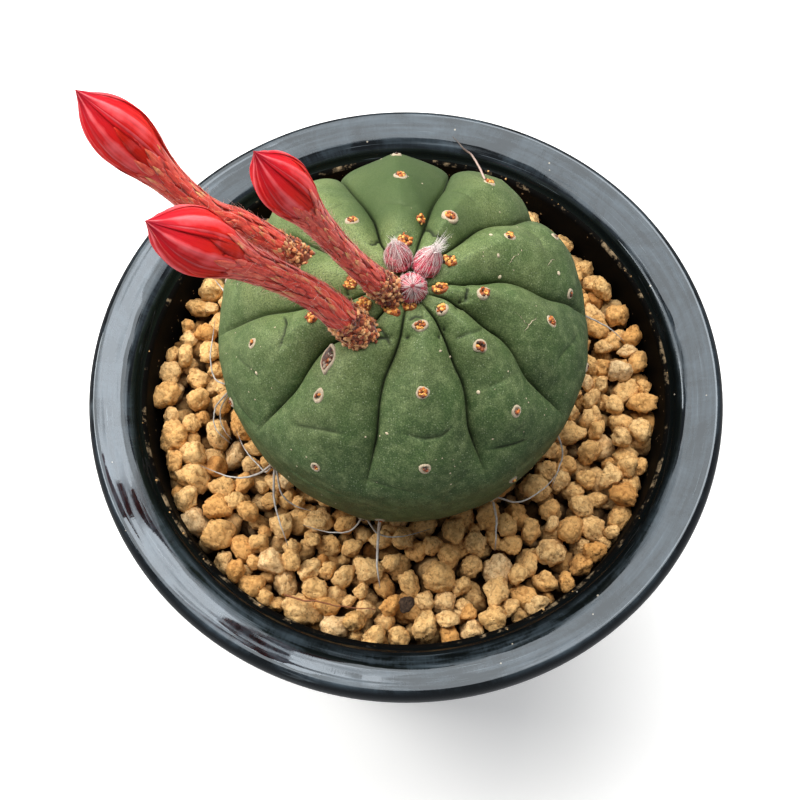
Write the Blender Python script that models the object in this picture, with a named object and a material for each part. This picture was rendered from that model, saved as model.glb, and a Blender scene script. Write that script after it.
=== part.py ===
"""A potted matucana cactus: a flattened, ribbed stem with three long flower buds and three woolly
young buds in its crown, standing in baked-clay grit in a round plastic pot with a wide rim.

Metres, +Z up. The origin is the centre of the pot's underside, and -Y is the side that faces the viewer.
"""

import math
import random

import bmesh
import bpy
from mathutils import Matrix, Vector
from mathutils.bvhtree import BVHTree
from mathutils.geometry import delaunay_2d_cdt

MM = 0.001

# Pot, moulded in black plastic. Heights on its rim are given below the rim's crest.
POT_HEIGHT = 96 * MM
MOUTH_RADIUS = 55.7 * MM
FOOT_RADIUS = 46.0 * MM
FOOT_RING_WIDTH = 3.5 * MM
FOOT_RECESS = 2.0 * MM
FLOOR_TOP = 3.6 * MM
BOSS_RADIUS = 12.0 * MM
WALL = 1.5 * MM
POT_SIDES = 48
DRAIN_HOLES = 8
DRAIN_HOLE_RADIUS = 1.9 * MM
DRAIN_CIRCLE_RADIUS = 26.0 * MM

# Grit: granules about 5 mm across, which stand up side by side with narrow low seams between them.
GAP = 0.3 * MM
GRIT_SEAMS = POT_HEIGHT - 11.8 * MM
GRAIN_RISE = 2.9 * MM
GRAIN_SHOULDER = 2.1 * MM
GRAIN_SPACING = 5.3 * MM
GRAIN_SEED = 11

# Stem: a flattened globe, fuller below its waist than above, with a dimple at its crown.
STEM_CENTRE = Vector((-0.6 * MM, 5.2 * MM, POT_HEIGHT + 15.0 * MM))
STEM_RADIUS = 37.0 * MM
STEM_LENGTHENING = 0.05
STEM_HALF_HEIGHT = 29.5 * MM
STEM_LOWER_FULLNESS = 0.4
STEM_FOOT_LATITUDE = -62
CROWN_LEAN = Vector((1.0 * MM, -3.8 * MM, 0))
CROWN_DIMPLE = 3.2 * MM
CROWN_DIMPLE_RADIUS = 7.0 * MM
FURROW_DEPTH = 3.6 * MM
FURROW_SHOULDER = 6.5 * MM
RIB_RIDGE = 2.1 * MM
FURROW_FADE = (7, 15)
ROOT_NECK = ((13.0 * MM, -4.0 * MM), (8.0 * MM, -9.0 * MM), (5.0 * MM, -20.0 * MM), (2.5 * MM, -32.0 * MM))
ROOT_SIDES = 16

# Each furrow's azimuth in degrees, at the crown, at the shoulder and at the waist.
FURROWS = (
    (5, 11, 4),
    (49, 48, 41),
    (79, 77, 74),
    (119, 112, 113),
    (150, 148, 145),
    (189, 186, 181),
    (227, 216, 220),
    (261, 254, 257),
    (307, 301, 295),
    (340, 335, 327),
)
FURROW_LATITUDES = (78, 59, 36)

# Where across a rib its columns of points stand: close together beside the furrows.
RIB_COLUMNS = (0.0, 0.08, 0.24, 0.5, 0.76, 0.92)
STEM_LATITUDES = (85, 81, 77, 73, 69, 65, 60, 55, 49, 43, 36, 29, 21, 12, 2, -9, -22, -36, -50, -62)

# Areoles down each rib, as (azimuth, latitude), one row for each rib. Rib 0 follows furrow 0.
AREOLES = (
    ((32, 76), (31, 53), (28, 27), (7, 25), (18, -26)),
    ((62, 64), (58, 36), (58, 8), (60, -26)),
    ((95, 76), (82, 65), (93, 48), (93, 27), (93, 4), (95, -28)),
    ((127, 62), (131, 40), (131, 12), (130, -25)),
    ((175, 73), (166, 38), (165, 10), (163, -27)),
    ((206, 76), (198, 60), (196, 35), (206, 4), (193, -22)),
    ((238, 81), (221, 56), (231, 46), (242, 20), (223, -29)),
    ((284, 77), (277, 57), (276, 30), (263, -18), (257, -30)),
    ((322, 78), (318, 62), (312, 37), (304, -2), (300, -27)),
    ((354, 81), (354, 68), (350, 42), (345, 8), (332, -27)),
)
AREOLE_RADIUS = 1.15 * MM
AREOLE_HEIGHT = 0.75 * MM
AREOLE_SIDES = 6

# Spines, as the areole they leave by (rib, areole), then points as (azimuth, distance from the stem's
# axis in mm, height over the rim in mm) on the way to the tip.
SPINES = (
    ((5, 4), (183, 40.5, 2), (172, 42.5, 3), (163, 43, 6)),
    ((5, 4), (196, 41, -1), (197, 42.5, -4), (203, 40.5, -6)),
    ((6, 4), (217, 41, -3), (213, 44, -5.5), (206, 48.5, -6.5)),
    ((6, 4), (219, 38.5, -3), (211, 39.5, -5.5), (202, 39.5, -6.5)),
    ((6, 4), (227, 39.5, -3), (232, 42.5, -5.5), (239, 46.5, -6.5)),
    ((6, 4), (229, 38.5, -3), (234, 38.5, -5.5), (239, 37.5, -6.5)),
    ((7, 4), (254, 38.5, -4), (248, 40, -5.5), (239, 41, -6.5)),
    ((7, 4), (262, 38, -4), (269, 38, -5.5), (279, 36.5, -6.5)),
    ((7, 3), (262.5, 40, -1), (263, 44.5, -4), (264.4, 49, -6.5)),
    ((8, 4), (307, 39.5, -2.5), (316, 40.5, -4.8), (326, 40.5, -6)),
    ((8, 4), (299, 40, -3), (297, 42.5, -5), (295, 45, -6.5)),
    ((9, 4), (329, 39.5, -2.5), (325, 40.5, -4.5), (319, 41.5, -6)),
    ((0, 4), (26, 41, -2.5), (33, 42.5, -5), (41, 43.5, -6.5)),
    ((0, 4), (15, 42, -2.5), (12, 46, -5), (8, 49, -6.5)),
    ((1, 1), (65, 34, 31), (69.5, 34.5, 32.5), (74, 36, 33)),
    ((1, 3), (56, 42, -2.5), (50, 43.5, -5), (43, 45.5, -6.5)),
    ((1, 3), (64, 42.5, -2.5), (68, 44, -5), (73, 44.5, -6.5)),
    ((2, 5), (90, 41, -2.5), (83, 42, -5), (77, 41, -6.5)),
    ((2, 5), (98, 41.5, -2.5), (104, 43, -5), (110, 43, -6.5)),
    ((3, 3), (126, 41, -2.5), (120, 43, -5), (115, 46, -6.5)),
    ((3, 3), (136, 41, -2.5), (142, 42.5, -5), (148, 42.5, -6.5)),
    ((4, 3), (159, 41, -3), (155, 44, -5), (152, 48, -6.5)),
)
SPINE_BASE_RADIUS = 0.55 * MM
SPINE_TIP_RADIUS = 0.42 * MM
SPINE_SIDES = 4
SPINE_STATIONS = 5

# Long flower buds: four points up each one's middle, from the stem to its tip, as (x, y, height over the
# rim, in mm), and the widest radius of its head.
FLOWER_BUDS = (
    (((-9.4, -7.5, 42.9), (-16.5, -6.0, 54.0), (-25.4, -6.6, 65.9), (-41.4, -8.8, 87.0)), 5.8 * MM),
    (((-3.9, -0.2, 44.4), (-10.3, -0.1, 57.3), (-15.3, 0.2, 68.8), (-24.6, 2.1, 89.8)), 4.75 * MM),
    (((-21.7, 9.6, 38.3), (-30.2, 10.3, 50.0), (-37.8, 10.2, 60.0), (-54.5, 15.6, 86.3)), 5.2 * MM),
)

# A flower bud's outer radius at shares of its length, as a share of its head's widest radius.
BUD_OUTLINE = (
    (0.0, 0.66),
    (0.08, 0.62),
    (0.25, 0.55),
    (0.4, 0.56),
    (0.5, 0.59),
    (0.58, 0.66),
    (0.66, 0.79),
    (0.74, 0.94),
    (0.81, 1.0),
    (0.87, 0.9),
    (0.93, 0.62),
    (0.97, 0.28),
    (1.0, 0.0),
)
BUD_HEAD_START = 0.62
SEAT_GAP = 0.45 * MM
SEATED_RINGS = 4
TUBE_COLUMNS = 12
TUBE_SCALE_ROWS = 11
SCALE_LIFT = 0.75 * MM
TEPALS = 5
TEPAL_STEP = 0.9 * MM
TEPAL_COLUMNS = (0.0, 0.35, 0.7, 0.97)
TEPAL_TWIST = 50

# Woolly young buds in the crown, as (x, y) from the crown in mm, with their radius and height.
YOUNG_BUDS = ((-2.2, 5.6), (3.6, 4.5), (0.9, -0.7))
YOUNG_BUD_RADIUS = 2.7 * MM
YOUNG_BUD_HEIGHT = 7.0 * MM
YOUNG_BUD_COLUMNS = 12
YOUNG_BUD_ROWS = 4


def clear_scene():
    for obj in list(bpy.data.objects):
        bpy.data.objects.remove(obj)


def material(name, colour, roughness):
    """One plain finish, as linear RGB."""
    made = bpy.data.materials.new(name)
    made.use_nodes = True
    shader = made.node_tree.nodes["Principled BSDF"]
    shader.inputs["Base Color"].default_value = (*colour, 1)
    shader.inputs["Roughness"].default_value = roughness
    return made


def object_from(name, points, faces, finish=None):
    mesh = bpy.data.meshes.new(name)
    mesh.from_pydata([tuple(p) for p in points], [], faces)
    made = bmesh.new()
    made.from_mesh(mesh)
    bmesh.ops.recalc_face_normals(made, faces=made.faces)
    made.to_mesh(mesh)
    made.free()
    if finish:
        mesh.materials.append(finish)
    obj = bpy.data.objects.new(name, mesh)
    bpy.context.scene.collection.objects.link(obj)
    return obj


def skin(rings, start=None, end=None):
    """Points and faces of a closed skin over rings of equal length, each end drawn to a point or to its middle."""
    count = len(rings[0])
    points = [p for ring in rings for p in ring]
    faces = []
    for row in range(len(rings) - 1):
        for i in range(count):
            j = (i + 1) % count
            a, b = row * count, (row + 1) * count
            faces.append((a + i, a + j, b + j, b + i))
    for ring_start, tip, ring in ((0, start, rings[0]), ((len(rings) - 1) * count, end, rings[-1])):
        points.append(tip if tip is not None else sum(ring, Vector()) / count)
        middle = len(points) - 1
        for i in range(count):
            faces.append((ring_start + i, ring_start + (i + 1) % count, middle))
    return points, faces


def circle(radius, height, sides, centre=Vector((0, 0, 0))):
    turn = 2 * math.pi / sides
    return [
        centre + Vector((radius * math.cos(i * turn), radius * math.sin(i * turn), height)) for i in range(sides)
    ]


def turned(name, profile, sides, finish=None):
    """A turned solid. The profile runs from the axis below to the axis above, as (radius, height)."""
    rings = [circle(r, z, sides) for r, z in profile[1:-1]]
    ends = [Vector((0, 0, profile[i][1])) for i in (0, -1)]
    return object_from(name, *skin(rings, *ends), finish)


def join_all(obj, extras, operation="UNION"):
    """Joins the extra objects to obj, or cuts them from it, with one Boolean."""
    group = bpy.data.collections.new(obj.name + "_extras")
    bpy.context.scene.collection.children.link(group)
    for extra in extras:
        bpy.context.scene.collection.objects.unlink(extra)
        group.objects.link(extra)
    boolean = obj.modifiers.new("join", "BOOLEAN")
    boolean.operation = operation
    boolean.operand_type = "COLLECTION"
    boolean.collection = group
    boolean.solver = "EXACT"
    graph = bpy.context.evaluated_depsgraph_get()
    joined = bpy.data.meshes.new_from_object(obj.evaluated_get(graph))
    obj.modifiers.clear()
    obj.data = joined
    for extra in extras:
        bpy.data.objects.remove(extra)
    bpy.data.collections.remove(group)


def keep_largest_body(obj):
    """Drops the loose scraps that a cut can leave."""
    made = bmesh.new()
    made.from_mesh(obj.data)
    left, bodies = set(made.verts), []
    while left:
        body, front = set(), [left.pop()]
        while front:
            vert = front.pop()
            body.add(vert)
            for edge in vert.link_edges:
                other = edge.other_vert(vert)
                if other in left:
                    left.remove(other)
                    front.append(other)
        bodies.append(body)
    bodies.sort(key=len)
    bmesh.ops.delete(made, geom=[v for body in bodies[:-1] for v in body], context="VERTS")
    made.to_mesh(obj.data)
    made.free()


def smooth_step(value, low, high):
    t = min(1.0, max(0.0, (value - low) / (high - low)))
    return t * t * (3 - 2 * t)


def mix(a, b, t):
    return a + (b - a) * t


def inner_wall_radius(height):
    """The pot's inner wall, a straight taper from the floor to the mouth."""
    taper = (height - FLOOR_TOP) / (POT_HEIGHT - 3.2 * MM - FLOOR_TOP)
    return mix(FOOT_RADIUS - WALL + 0.6 * MM, MOUTH_RADIUS - 0.3 * MM, taper)


def make_pot(finish):
    crest = POT_HEIGHT
    rim = (
        (57.4, -7.0),
        (58.8, -3.6),
        (64.4, -3.5),
        (65.8, -4.2),
        (66.1, -5.5),
        (67.1, -5.5),
        (67.5, -4.4),
        (67.5, -1.5),
        (67.2, -0.4),
        (66.5, 0.0),
        (65.3, -0.2),
        (64.4, -0.5),
        (62.0, -1.05),
        (60.4, -1.6),
        (58.9, -2.25),
        (57.9, -2.9),
        (57.3, -3.6),
        (56.7, -3.8),
        (56.2, -3.4),
        (55.7, -3.6),
    )
    recess_edge = 0.8 * MM
    profile = [
        (0, 0),
        (BOSS_RADIUS, 0),
        (BOSS_RADIUS + recess_edge, FOOT_RECESS),
        (FOOT_RADIUS - FOOT_RING_WIDTH - recess_edge, FOOT_RECESS),
        (FOOT_RADIUS - FOOT_RING_WIDTH, 0),
        (FOOT_RADIUS, 0),
        (FOOT_RADIUS + recess_edge, recess_edge),
        *((r * MM, crest + z * MM) for r, z in rim),
        (inner_wall_radius(FLOOR_TOP), FLOOR_TOP),
        (0, FLOOR_TOP),
    ]
    pot = turned("pot", profile, POT_SIDES, finish)
    drills = []
    for i in range(DRAIN_HOLES):
        turn = 2 * math.pi * (i + 0.5) / DRAIN_HOLES
        centre = Vector((DRAIN_CIRCLE_RADIUS * math.cos(turn), DRAIN_CIRCLE_RADIUS * math.sin(turn), 0))
        rings = [circle(DRAIN_HOLE_RADIUS, z, 10, centre) for z in (-5 * MM, FLOOR_TOP + 5 * MM)]
        drills.append(object_from(f"drain_drill_{i}", *skin(rings)))
    join_all(pot, drills, "DIFFERENCE")
    pot.data.shade_smooth()
    pot.data.set_sharp_from_angle(angle=math.radians(35))
    return pot


def furrow_azimuth(number, latitude):
    """A furrow's azimuth in degrees at a latitude. Furrow 10 is furrow 0, one turn on."""
    crown, shoulder, waist = FURROWS[number % len(FURROWS)]
    high, middle, low = FURROW_LATITUDES
    upper = mix(shoulder, crown, smooth_step(latitude, middle, high))
    azimuth = upper if latitude > middle else mix(waist, shoulder, smooth_step(latitude, low, middle))
    return azimuth + 360 * (number // len(FURROWS))


def rib_at(azimuth, latitude):
    """The rib under this azimuth and how far across it the azimuth stands, from 0 to 1."""
    for number in range(len(FURROWS)):
        low, high = furrow_azimuth(number, latitude), furrow_azimuth(number + 1, latitude)
        for turn in (0, 360):
            if low <= azimuth + turn < high:
                return number, (azimuth + turn - low) / (high - low)
    return 0, 0.0


def rib_relief(across, width, azimuth, latitude):
    """How far the skin lies under the stem's plain globe: a sharp furrow, round shoulders and a low ridge.
    The furrows run lower down the back than the front."""
    fade = FURROW_FADE[0] - FURROW_FADE[1] * math.sin(math.radians(azimuth))
    deep = smooth_step(latitude, fade - 12, fade + 14) * mix(0.7, 1, smooth_step(latitude, 10, 48))
    deep *= 1 - 0.92 * smooth_step(latitude, 64, 85)
    from_furrow = min(across, 1 - across) * width
    inside = 1 - min(1.0, from_furrow / min(FURROW_SHOULDER, width * 0.45))
    furrow = FURROW_DEPTH * (1 - math.sqrt(max(0.0, 1 - inside * inside)))
    ridge = RIB_RIDGE * abs(2 * across - 1) ** 1.25
    return deep * (furrow + ridge)


def stem_point(azimuth, latitude, out=0.0):
    """A point on the stem's skin, or that far out from it."""
    lat, turn = math.radians(latitude), math.radians(azimuth)
    fullness = 1.0 if latitude > 0 else STEM_LOWER_FULLNESS
    waist = STEM_RADIUS * (1 + STEM_LENGTHENING * math.sin(turn) ** 2)
    flat_radius = waist * math.cos(lat) ** fullness
    rib, across = rib_at(azimuth % 360, latitude)
    width = math.radians(furrow_azimuth(rib + 1, latitude) - furrow_azimuth(rib, latitude)) * flat_radius
    away = out - rib_relief(across, width, azimuth, latitude)
    normal = Vector((math.cos(lat) / STEM_RADIUS, math.sin(lat) / STEM_HALF_HEIGHT)).normalized()
    radius = flat_radius + away * normal.x
    height = STEM_HALF_HEIGHT * math.sin(lat) + away * normal.y
    height -= CROWN_DIMPLE * math.exp(-((flat_radius / CROWN_DIMPLE_RADIUS) ** 2)) * (latitude > 0)
    lean = CROWN_LEAN * max(0.0, math.sin(lat))
    return STEM_CENTRE + lean + Vector((radius * math.cos(turn), radius * math.sin(turn), height))


def stem_normal(azimuth, latitude):
    step = 2.0
    east = stem_point(azimuth + step, latitude) - stem_point(azimuth - step, latitude)
    north = stem_point(azimuth, latitude + step) - stem_point(azimuth, latitude - step)
    return east.cross(north).normalized()


def areole(name, azimuth, latitude):
    """A low woolly pad, its root sunk in the skin."""
    up = stem_normal(azimuth, latitude)
    place = Matrix.Translation(stem_point(azimuth, latitude)) @ up.to_track_quat("Z", "Y").to_matrix().to_4x4()
    shape = ((1.1, -1.2 * MM), (0.75, AREOLE_HEIGHT * 0.7))
    rings = [[place @ p for p in circle(AREOLE_RADIUS * r, z, AREOLE_SIDES)] for r, z in shape]
    return object_from(name, *skin(rings, end=place @ Vector((0, 0, AREOLE_HEIGHT))))


def smooth_path(points, stations):
    """Points along a smooth curve through the given ones."""
    padded = [2 * points[0] - points[1], *points, 2 * points[-1] - points[-2]]
    spans = len(points) - 1
    path = []
    for k in range(stations):
        at = k / (stations - 1) * spans
        i = min(int(at), spans - 1)
        t = at - i
        a, b, c, d = padded[i : i + 4]
        path.append(
            0.5 * ((2 * b) + (c - a) * t + (2 * a - 5 * b + 4 * c - d) * t**2 + (3 * b - a - 3 * c + d) * t**3)
        )
    return path


def rings_along(path, radii, sides, up=Vector((0, 0, 1)), shape=None):
    """Rings round a path. shape(column, station) scales one point's radius."""
    rings = []
    for k, middle in enumerate(path):
        ahead = (path[min(k + 1, len(path) - 1)] - path[max(k - 1, 0)]).normalized()
        side = ahead.cross(up).normalized()
        over = side.cross(ahead)
        ring = []
        for i in range(sides):
            turn = 2 * math.pi * i / sides
            radius = radii[k] + (shape(i, k) if shape else 0)
            ring.append(middle + radius * (math.cos(turn) * side + math.sin(turn) * over))
        rings.append(ring)
    return rings


def round_axis(azimuth, distance, height):
    """A point by azimuth, distance from the stem's axis and height over the pot's rim, both in mm."""
    turn = math.radians(azimuth)
    flat = Vector((STEM_CENTRE.x, STEM_CENTRE.y, 0)) + distance * MM * Vector((math.cos(turn), math.sin(turn), 0))
    return flat + Vector((0, 0, POT_HEIGHT + height * MM))


def spine(name, rib, number, stops):
    azimuth, latitude = AREOLES[rib][number]
    root = stem_point(azimuth, latitude, -1.5 * MM)
    path = smooth_path([root, *(round_axis(*stop) for stop in stops)], SPINE_STATIONS)
    radii = [mix(SPINE_BASE_RADIUS, SPINE_TIP_RADIUS, k / (SPINE_STATIONS - 1)) for k in range(SPINE_STATIONS)]
    return object_from(name, *skin(rings_along(path, radii, SPINE_SIDES)))


def stem_profile_below():
    """(radius, height) down the plain globe from its waist to the end of the root."""
    globe = []
    for latitude in (0, *(lat for lat in STEM_LATITUDES if lat < 0)):
        lat = math.radians(latitude)
        radius = STEM_RADIUS * (1 + STEM_LENGTHENING) * math.cos(lat) ** STEM_LOWER_FULLNESS
        globe.append((radius, STEM_HALF_HEIGHT * math.sin(lat)))
    foot = globe[-1][1]
    return globe + [(r, foot + z) for r, z in ROOT_NECK]


def make_stem(finish):
    rings = []
    for latitude in STEM_LATITUDES:
        ring = []
        for number in range(len(FURROWS)):
            low, high = furrow_azimuth(number, latitude), furrow_azimuth(number + 1, latitude)
            ring += [stem_point(mix(low, high, t), latitude) for t in RIB_COLUMNS]
        rings.append(ring)
    crown = stem_point(0, 90)
    stem = object_from("stem", *skin(rings, start=crown), finish)
    foot = STEM_HALF_HEIGHT * math.sin(math.radians(STEM_FOOT_LATITUDE))
    root = [(0, foot - 33 * MM), *((r, foot + z) for r, z in reversed(ROOT_NECK)), (13.0 * MM, foot + 3 * MM)]
    neck = turned("root_neck", [*root, (0, foot + 3 * MM)], ROOT_SIDES)
    neck.data.transform(Matrix.Translation(STEM_CENTRE))
    extras = [neck]
    for rib, row in enumerate(AREOLES):
        for number, (azimuth, latitude) in enumerate(row):
            extras.append(areole(f"areole_{rib}_{number}", azimuth, latitude))
    for count, ((rib, number), *stops) in enumerate(SPINES):
        extras.append(spine(f"spine_{count}", rib, number, stops))
    join_all(stem, extras)
    stem.data.shade_smooth()
    stem.data.set_sharp_from_angle(angle=math.radians(50))
    return stem


def surface_of(obj):
    return BVHTree.FromPolygons([v.co.copy() for v in obj.data.vertices], [p.vertices[:] for p in obj.data.polygons])


def set_down(point, along, surface, clear):
    """The point moved out along a direction, if it must be, until it stands that far off the surface."""
    reach = 12 * MM
    hit = surface.ray_cast(point + along * reach, -along, 3 * reach)[0]
    if hit and (point - hit).dot(along) < clear:
        return hit + along * clear
    return point


def seat(rings, root, along, surface):
    """Seats a skin's lower rings a gap over the surface. Gives the rings and the middle of the lowest one."""
    seated = []
    for row, ring in enumerate(rings):
        clear = SEAT_GAP + 0.25 * MM * row
        seated.append([set_down(p, along, surface, clear) for p in ring] if row < SEATED_RINGS else ring)
    return seated, set_down(root, along, surface, SEAT_GAP)


def bud_radius(share, widest):
    for (low, start), (high, end) in zip(BUD_OUTLINE, BUD_OUTLINE[1:]):
        if share <= high:
            return widest * mix(start, end, (share - low) / (high - low))
    return 0.0


def bud_line(points):
    """A function that gives a bud's centre line at a share of its length."""
    line = smooth_path([Vector(p) * MM + Vector((0, 0, POT_HEIGHT)) for p in points], 31)
    runs = [0.0]
    for a, b in zip(line, line[1:]):
        runs.append(runs[-1] + (b - a).length)

    def at(share):
        wanted = min(1.0, max(0.0, share)) * runs[-1]
        i = next(k for k in range(1, len(runs)) if runs[k] >= wanted or k == len(runs) - 1)
        return line[i - 1].lerp(line[i], (wanted - runs[i - 1]) / (runs[i] - runs[i - 1]))

    return at


def make_bud_tube(name, at, widest, surface, finish):
    """The scaly tube. Each row of scales is a plain ring and then a ring whose every other point stands out."""
    shares, raised = [], []
    for row in range(TUBE_SCALE_ROWS):
        low = row / TUBE_SCALE_ROWS
        high = (row + 0.86) / TUBE_SCALE_ROWS
        shares += [low * BUD_HEAD_START, high * BUD_HEAD_START]
        raised += [None, row % 2]
    path = [at(s) for s in shares]
    radii = [bud_radius(s, widest) - SCALE_LIFT * 0.8 for s in shares]

    def lift(column, station):
        return SCALE_LIFT if raised[station] is not None and column % 2 == raised[station] else 0

    rings = rings_along(path, radii, TUBE_COLUMNS, shape=lift)
    along = (path[2] - path[0]).normalized()
    rings, middle = seat(rings, path[0], along, surface)
    return object_from(name, *skin(rings, start=middle), finish)


def make_bud_head(name, at, widest, finish):
    """The closed flower: overlapping tepals, each rising to its free edge over the next one's root."""
    shares = [mix(BUD_HEAD_START, 1, t) for t in (0.0, 0.12, 0.26, 0.38, 0.5, 0.66, 0.8, 0.92)]
    path = [at(s) for s in shares]
    sides = TEPALS * len(TEPAL_COLUMNS)
    rings = []
    for k, share in enumerate(shares):
        ahead = (at(min(share + 0.01, 1)) - at(share - 0.01)).normalized()
        side = ahead.cross(Vector((0, 0, 1))).normalized()
        over = side.cross(ahead)
        plain = bud_radius(share, widest) * (0.86 if k == 0 else 1)
        fade = smooth_step(share, BUD_HEAD_START, BUD_HEAD_START + 0.1) * (1 - smooth_step(share, 0.88, 1.0))
        ring = []
        for i in range(sides):
            tepal, column = divmod(i, len(TEPAL_COLUMNS))
            across = TEPAL_COLUMNS[column]
            turn = 2 * math.pi * (tepal + across) / TEPALS + math.radians(TEPAL_TWIST) * share
            radius = plain - TEPAL_STEP * fade * (1 - across) * 0.9
            ring.append(path[k] + radius * (math.cos(turn) * side + math.sin(turn) * over))
        rings.append(ring)
    return object_from(name, *skin(rings, end=at(1.0)), finish)


def make_young_bud(name, offset, surface, finish):
    """A woolly young bud: an egg of scales that point up, set down in the crown."""
    crown = STEM_CENTRE + CROWN_LEAN + Vector((*(v * MM for v in offset), 0))
    hit = surface.ray_cast(crown + Vector((0, 0, 60 * MM)), Vector((0, 0, -1)))[0]
    outward = Vector((offset[0], offset[1] - 3, 0)) * 0.06
    up = (Vector((0, 0, 1)) + outward).normalized()
    rings = []
    levels = []
    for row in range(YOUNG_BUD_ROWS):
        levels += [(row / YOUNG_BUD_ROWS, None), ((row + 0.8) / YOUNG_BUD_ROWS, row % 2)]
    turn_to = up.to_track_quat("Z", "Y")
    for level, raised in levels:
        swell = math.sin(math.pi * (0.30 + 0.66 * level)) ** 0.8
        ring = []
        for i in range(YOUNG_BUD_COLUMNS):
            lift = 0.4 * MM if raised is not None and i % 2 == raised else 0
            radius = YOUNG_BUD_RADIUS * 0.88 * swell + lift * swell
            angle = 2 * math.pi * i / YOUNG_BUD_COLUMNS
            local = Vector((radius * math.cos(angle), radius * math.sin(angle), level * YOUNG_BUD_HEIGHT))
            ring.append(hit + turn_to @ local)
        rings.append(ring)
    rings, middle = seat(rings, hit, up, surface)
    tip = hit + up * (YOUNG_BUD_HEIGHT * 1.02)
    return object_from(name, *skin(rings, start=middle, end=tip), finish)


def grit_sites(dice, side):
    """Places on the grit's top: a ring at the wall, a few under the stem, and one for each grain."""
    axis = Vector((STEM_CENTRE.x, STEM_CENTRE.y, 0))
    wall = circle(side, 0, POT_SIDES)
    hidden = [axis, *circle(9 * MM, 0, 6, axis), *circle(18 * MM, 0, 12, axis)]
    grains = []
    for _ in range(6000):
        turn = dice.uniform(0, 2 * math.pi)
        radius = math.sqrt(dice.uniform(0, 1)) * (side - GRAIN_SPACING * 0.52)
        spot = Vector((radius * math.cos(turn), radius * math.sin(turn), 0))
        if (spot - axis).length < 18 * MM + GRAIN_SPACING:
            continue
        if all((spot - other).length > GRAIN_SPACING for other in grains):
            grains.append(spot)
    return wall, hidden, grains


def make_grit(finish):
    """The grit that fills the pot, granules standing up from its top, with a plain hole for the stem's foot."""
    dice = random.Random(GRAIN_SEED)
    side = inner_wall_radius(GRIT_SEAMS) - GAP
    wall, hidden, grains = grit_sites(dice, side)
    sites = wall + hidden + grains
    triangles = delaunay_2d_cdt([p.to_2d() for p in sites], [], [], 0, 1e-7)[2]
    points, faces = [], []

    def add(point, height):
        points.append(Vector((point.x, point.y, height)))
        return len(points) - 1

    middles = [sum((sites[i] for i in corners), Vector()) / 3 for corners in triangles]
    seams = [add(p, GRIT_SEAMS + dice.uniform(-0.4, 0.4) * MM) for p in middles]
    around = [[] for _ in sites]
    for number, corners in enumerate(triangles):
        for i in corners:
            around[i].append(number)
    edge = [add(p, GRIT_SEAMS) for p in wall]
    foot = [add(p, FLOOR_TOP + GAP) for p in circle(inner_wall_radius(FLOOR_TOP) - GAP, 0, len(wall))]
    bottom = add(Vector(), FLOOR_TOP + GAP)
    for i, site in enumerate(sites):
        if i < len(wall):
            after = (i + 1) % len(wall)
            inwards = math.atan2(-site.y, -site.x)
            turns = {n: (math.atan2(*(middles[n] - site).yx) - inwards + math.pi) % (2 * math.pi) for n in around[i]}
            fan = sorted(around[i], key=turns.get)
            faces += [(edge[i], seams[a], seams[b]) for a, b in zip(fan, fan[1:])]
            shared = next(n for n in around[i] if n in around[after])
            faces += [(edge[i], edge[after], seams[shared]), (edge[i], foot[i], foot[after], edge[after])]
            faces.append((foot[i], foot[after], bottom))
            continue
        fan = sorted(around[i], key=lambda n: math.atan2(*(middles[n] - site).yx))
        rim = [seams[n] for n in fan]
        size = dice.uniform(0.75, 1.15)
        if i < len(wall) + len(hidden):
            faces.append(rim)
            continue
        shoulder = [
            add(middles[n].lerp(site, dice.uniform(0.26, 0.44)), GRIT_SEAMS + GRAIN_SHOULDER * size) for n in fan
        ]
        top = add(site, GRIT_SEAMS + GRAIN_RISE * size)
        for a, b in zip(range(len(fan)), [*range(1, len(fan)), 0]):
            faces += [(rim[a], rim[b], shoulder[b], shoulder[a]), (shoulder[a], shoulder[b], top)]
    grit = object_from("grit", points, faces, finish)
    room = 2 * GAP
    below = [(r + room, z) for r, z in stem_profile_below()]
    end = below[-1][1] - 2.5 * MM
    hole = turned("stem_hole", [(0, end), *reversed(below), (0, below[0][1])], 32)
    hole.data.transform(Matrix.Translation(STEM_CENTRE))
    join_all(grit, [hole], "DIFFERENCE")
    keep_largest_body(grit)
    return grit


def build():
    clear_scene()
    black_plastic = material("black_plastic", (0.028, 0.038, 0.046), 0.35)
    baked_clay = material("baked_clay", (0.56, 0.32, 0.12), 0.95)
    green_skin = material("green_skin", (0.09, 0.16, 0.055), 0.75)
    scaly_tube = material("scaly_tube", (0.42, 0.06, 0.035), 0.8)
    red_tepal = material("red_tepal", (0.72, 0.03, 0.045), 0.5)
    pink_wool = material("pink_wool", (0.55, 0.22, 0.24), 0.9)
    make_pot(black_plastic)
    make_grit(baked_clay)
    stem = make_stem(green_skin)
    surface = surface_of(stem)
    for number, (points, widest) in enumerate(FLOWER_BUDS, 1):
        at = bud_line(points)
        make_bud_tube(f"flower_bud_{number}_tube", at, widest, surface, scaly_tube)
        make_bud_head(f"flower_bud_{number}_tepals", at, widest, red_tepal)
    for number, offset in enumerate(YOUNG_BUDS, 1):
        make_young_bud(f"young_bud_{number}", offset, surface, pink_wool)


build()
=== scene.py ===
"""A potted matucana cactus, dressed: the pot, the baked-clay grit, the ribbed stem with its areoles and
spines, three long flower buds and three woolly young buds, in a plain pale studio.

Sizes are in millimetres and become metres when a mesh is made. +Z is up, and -Y faces the viewer.
"""

import math

import bmesh
import bpy
import numpy as np
from mathutils import Matrix, Vector, noise


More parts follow.
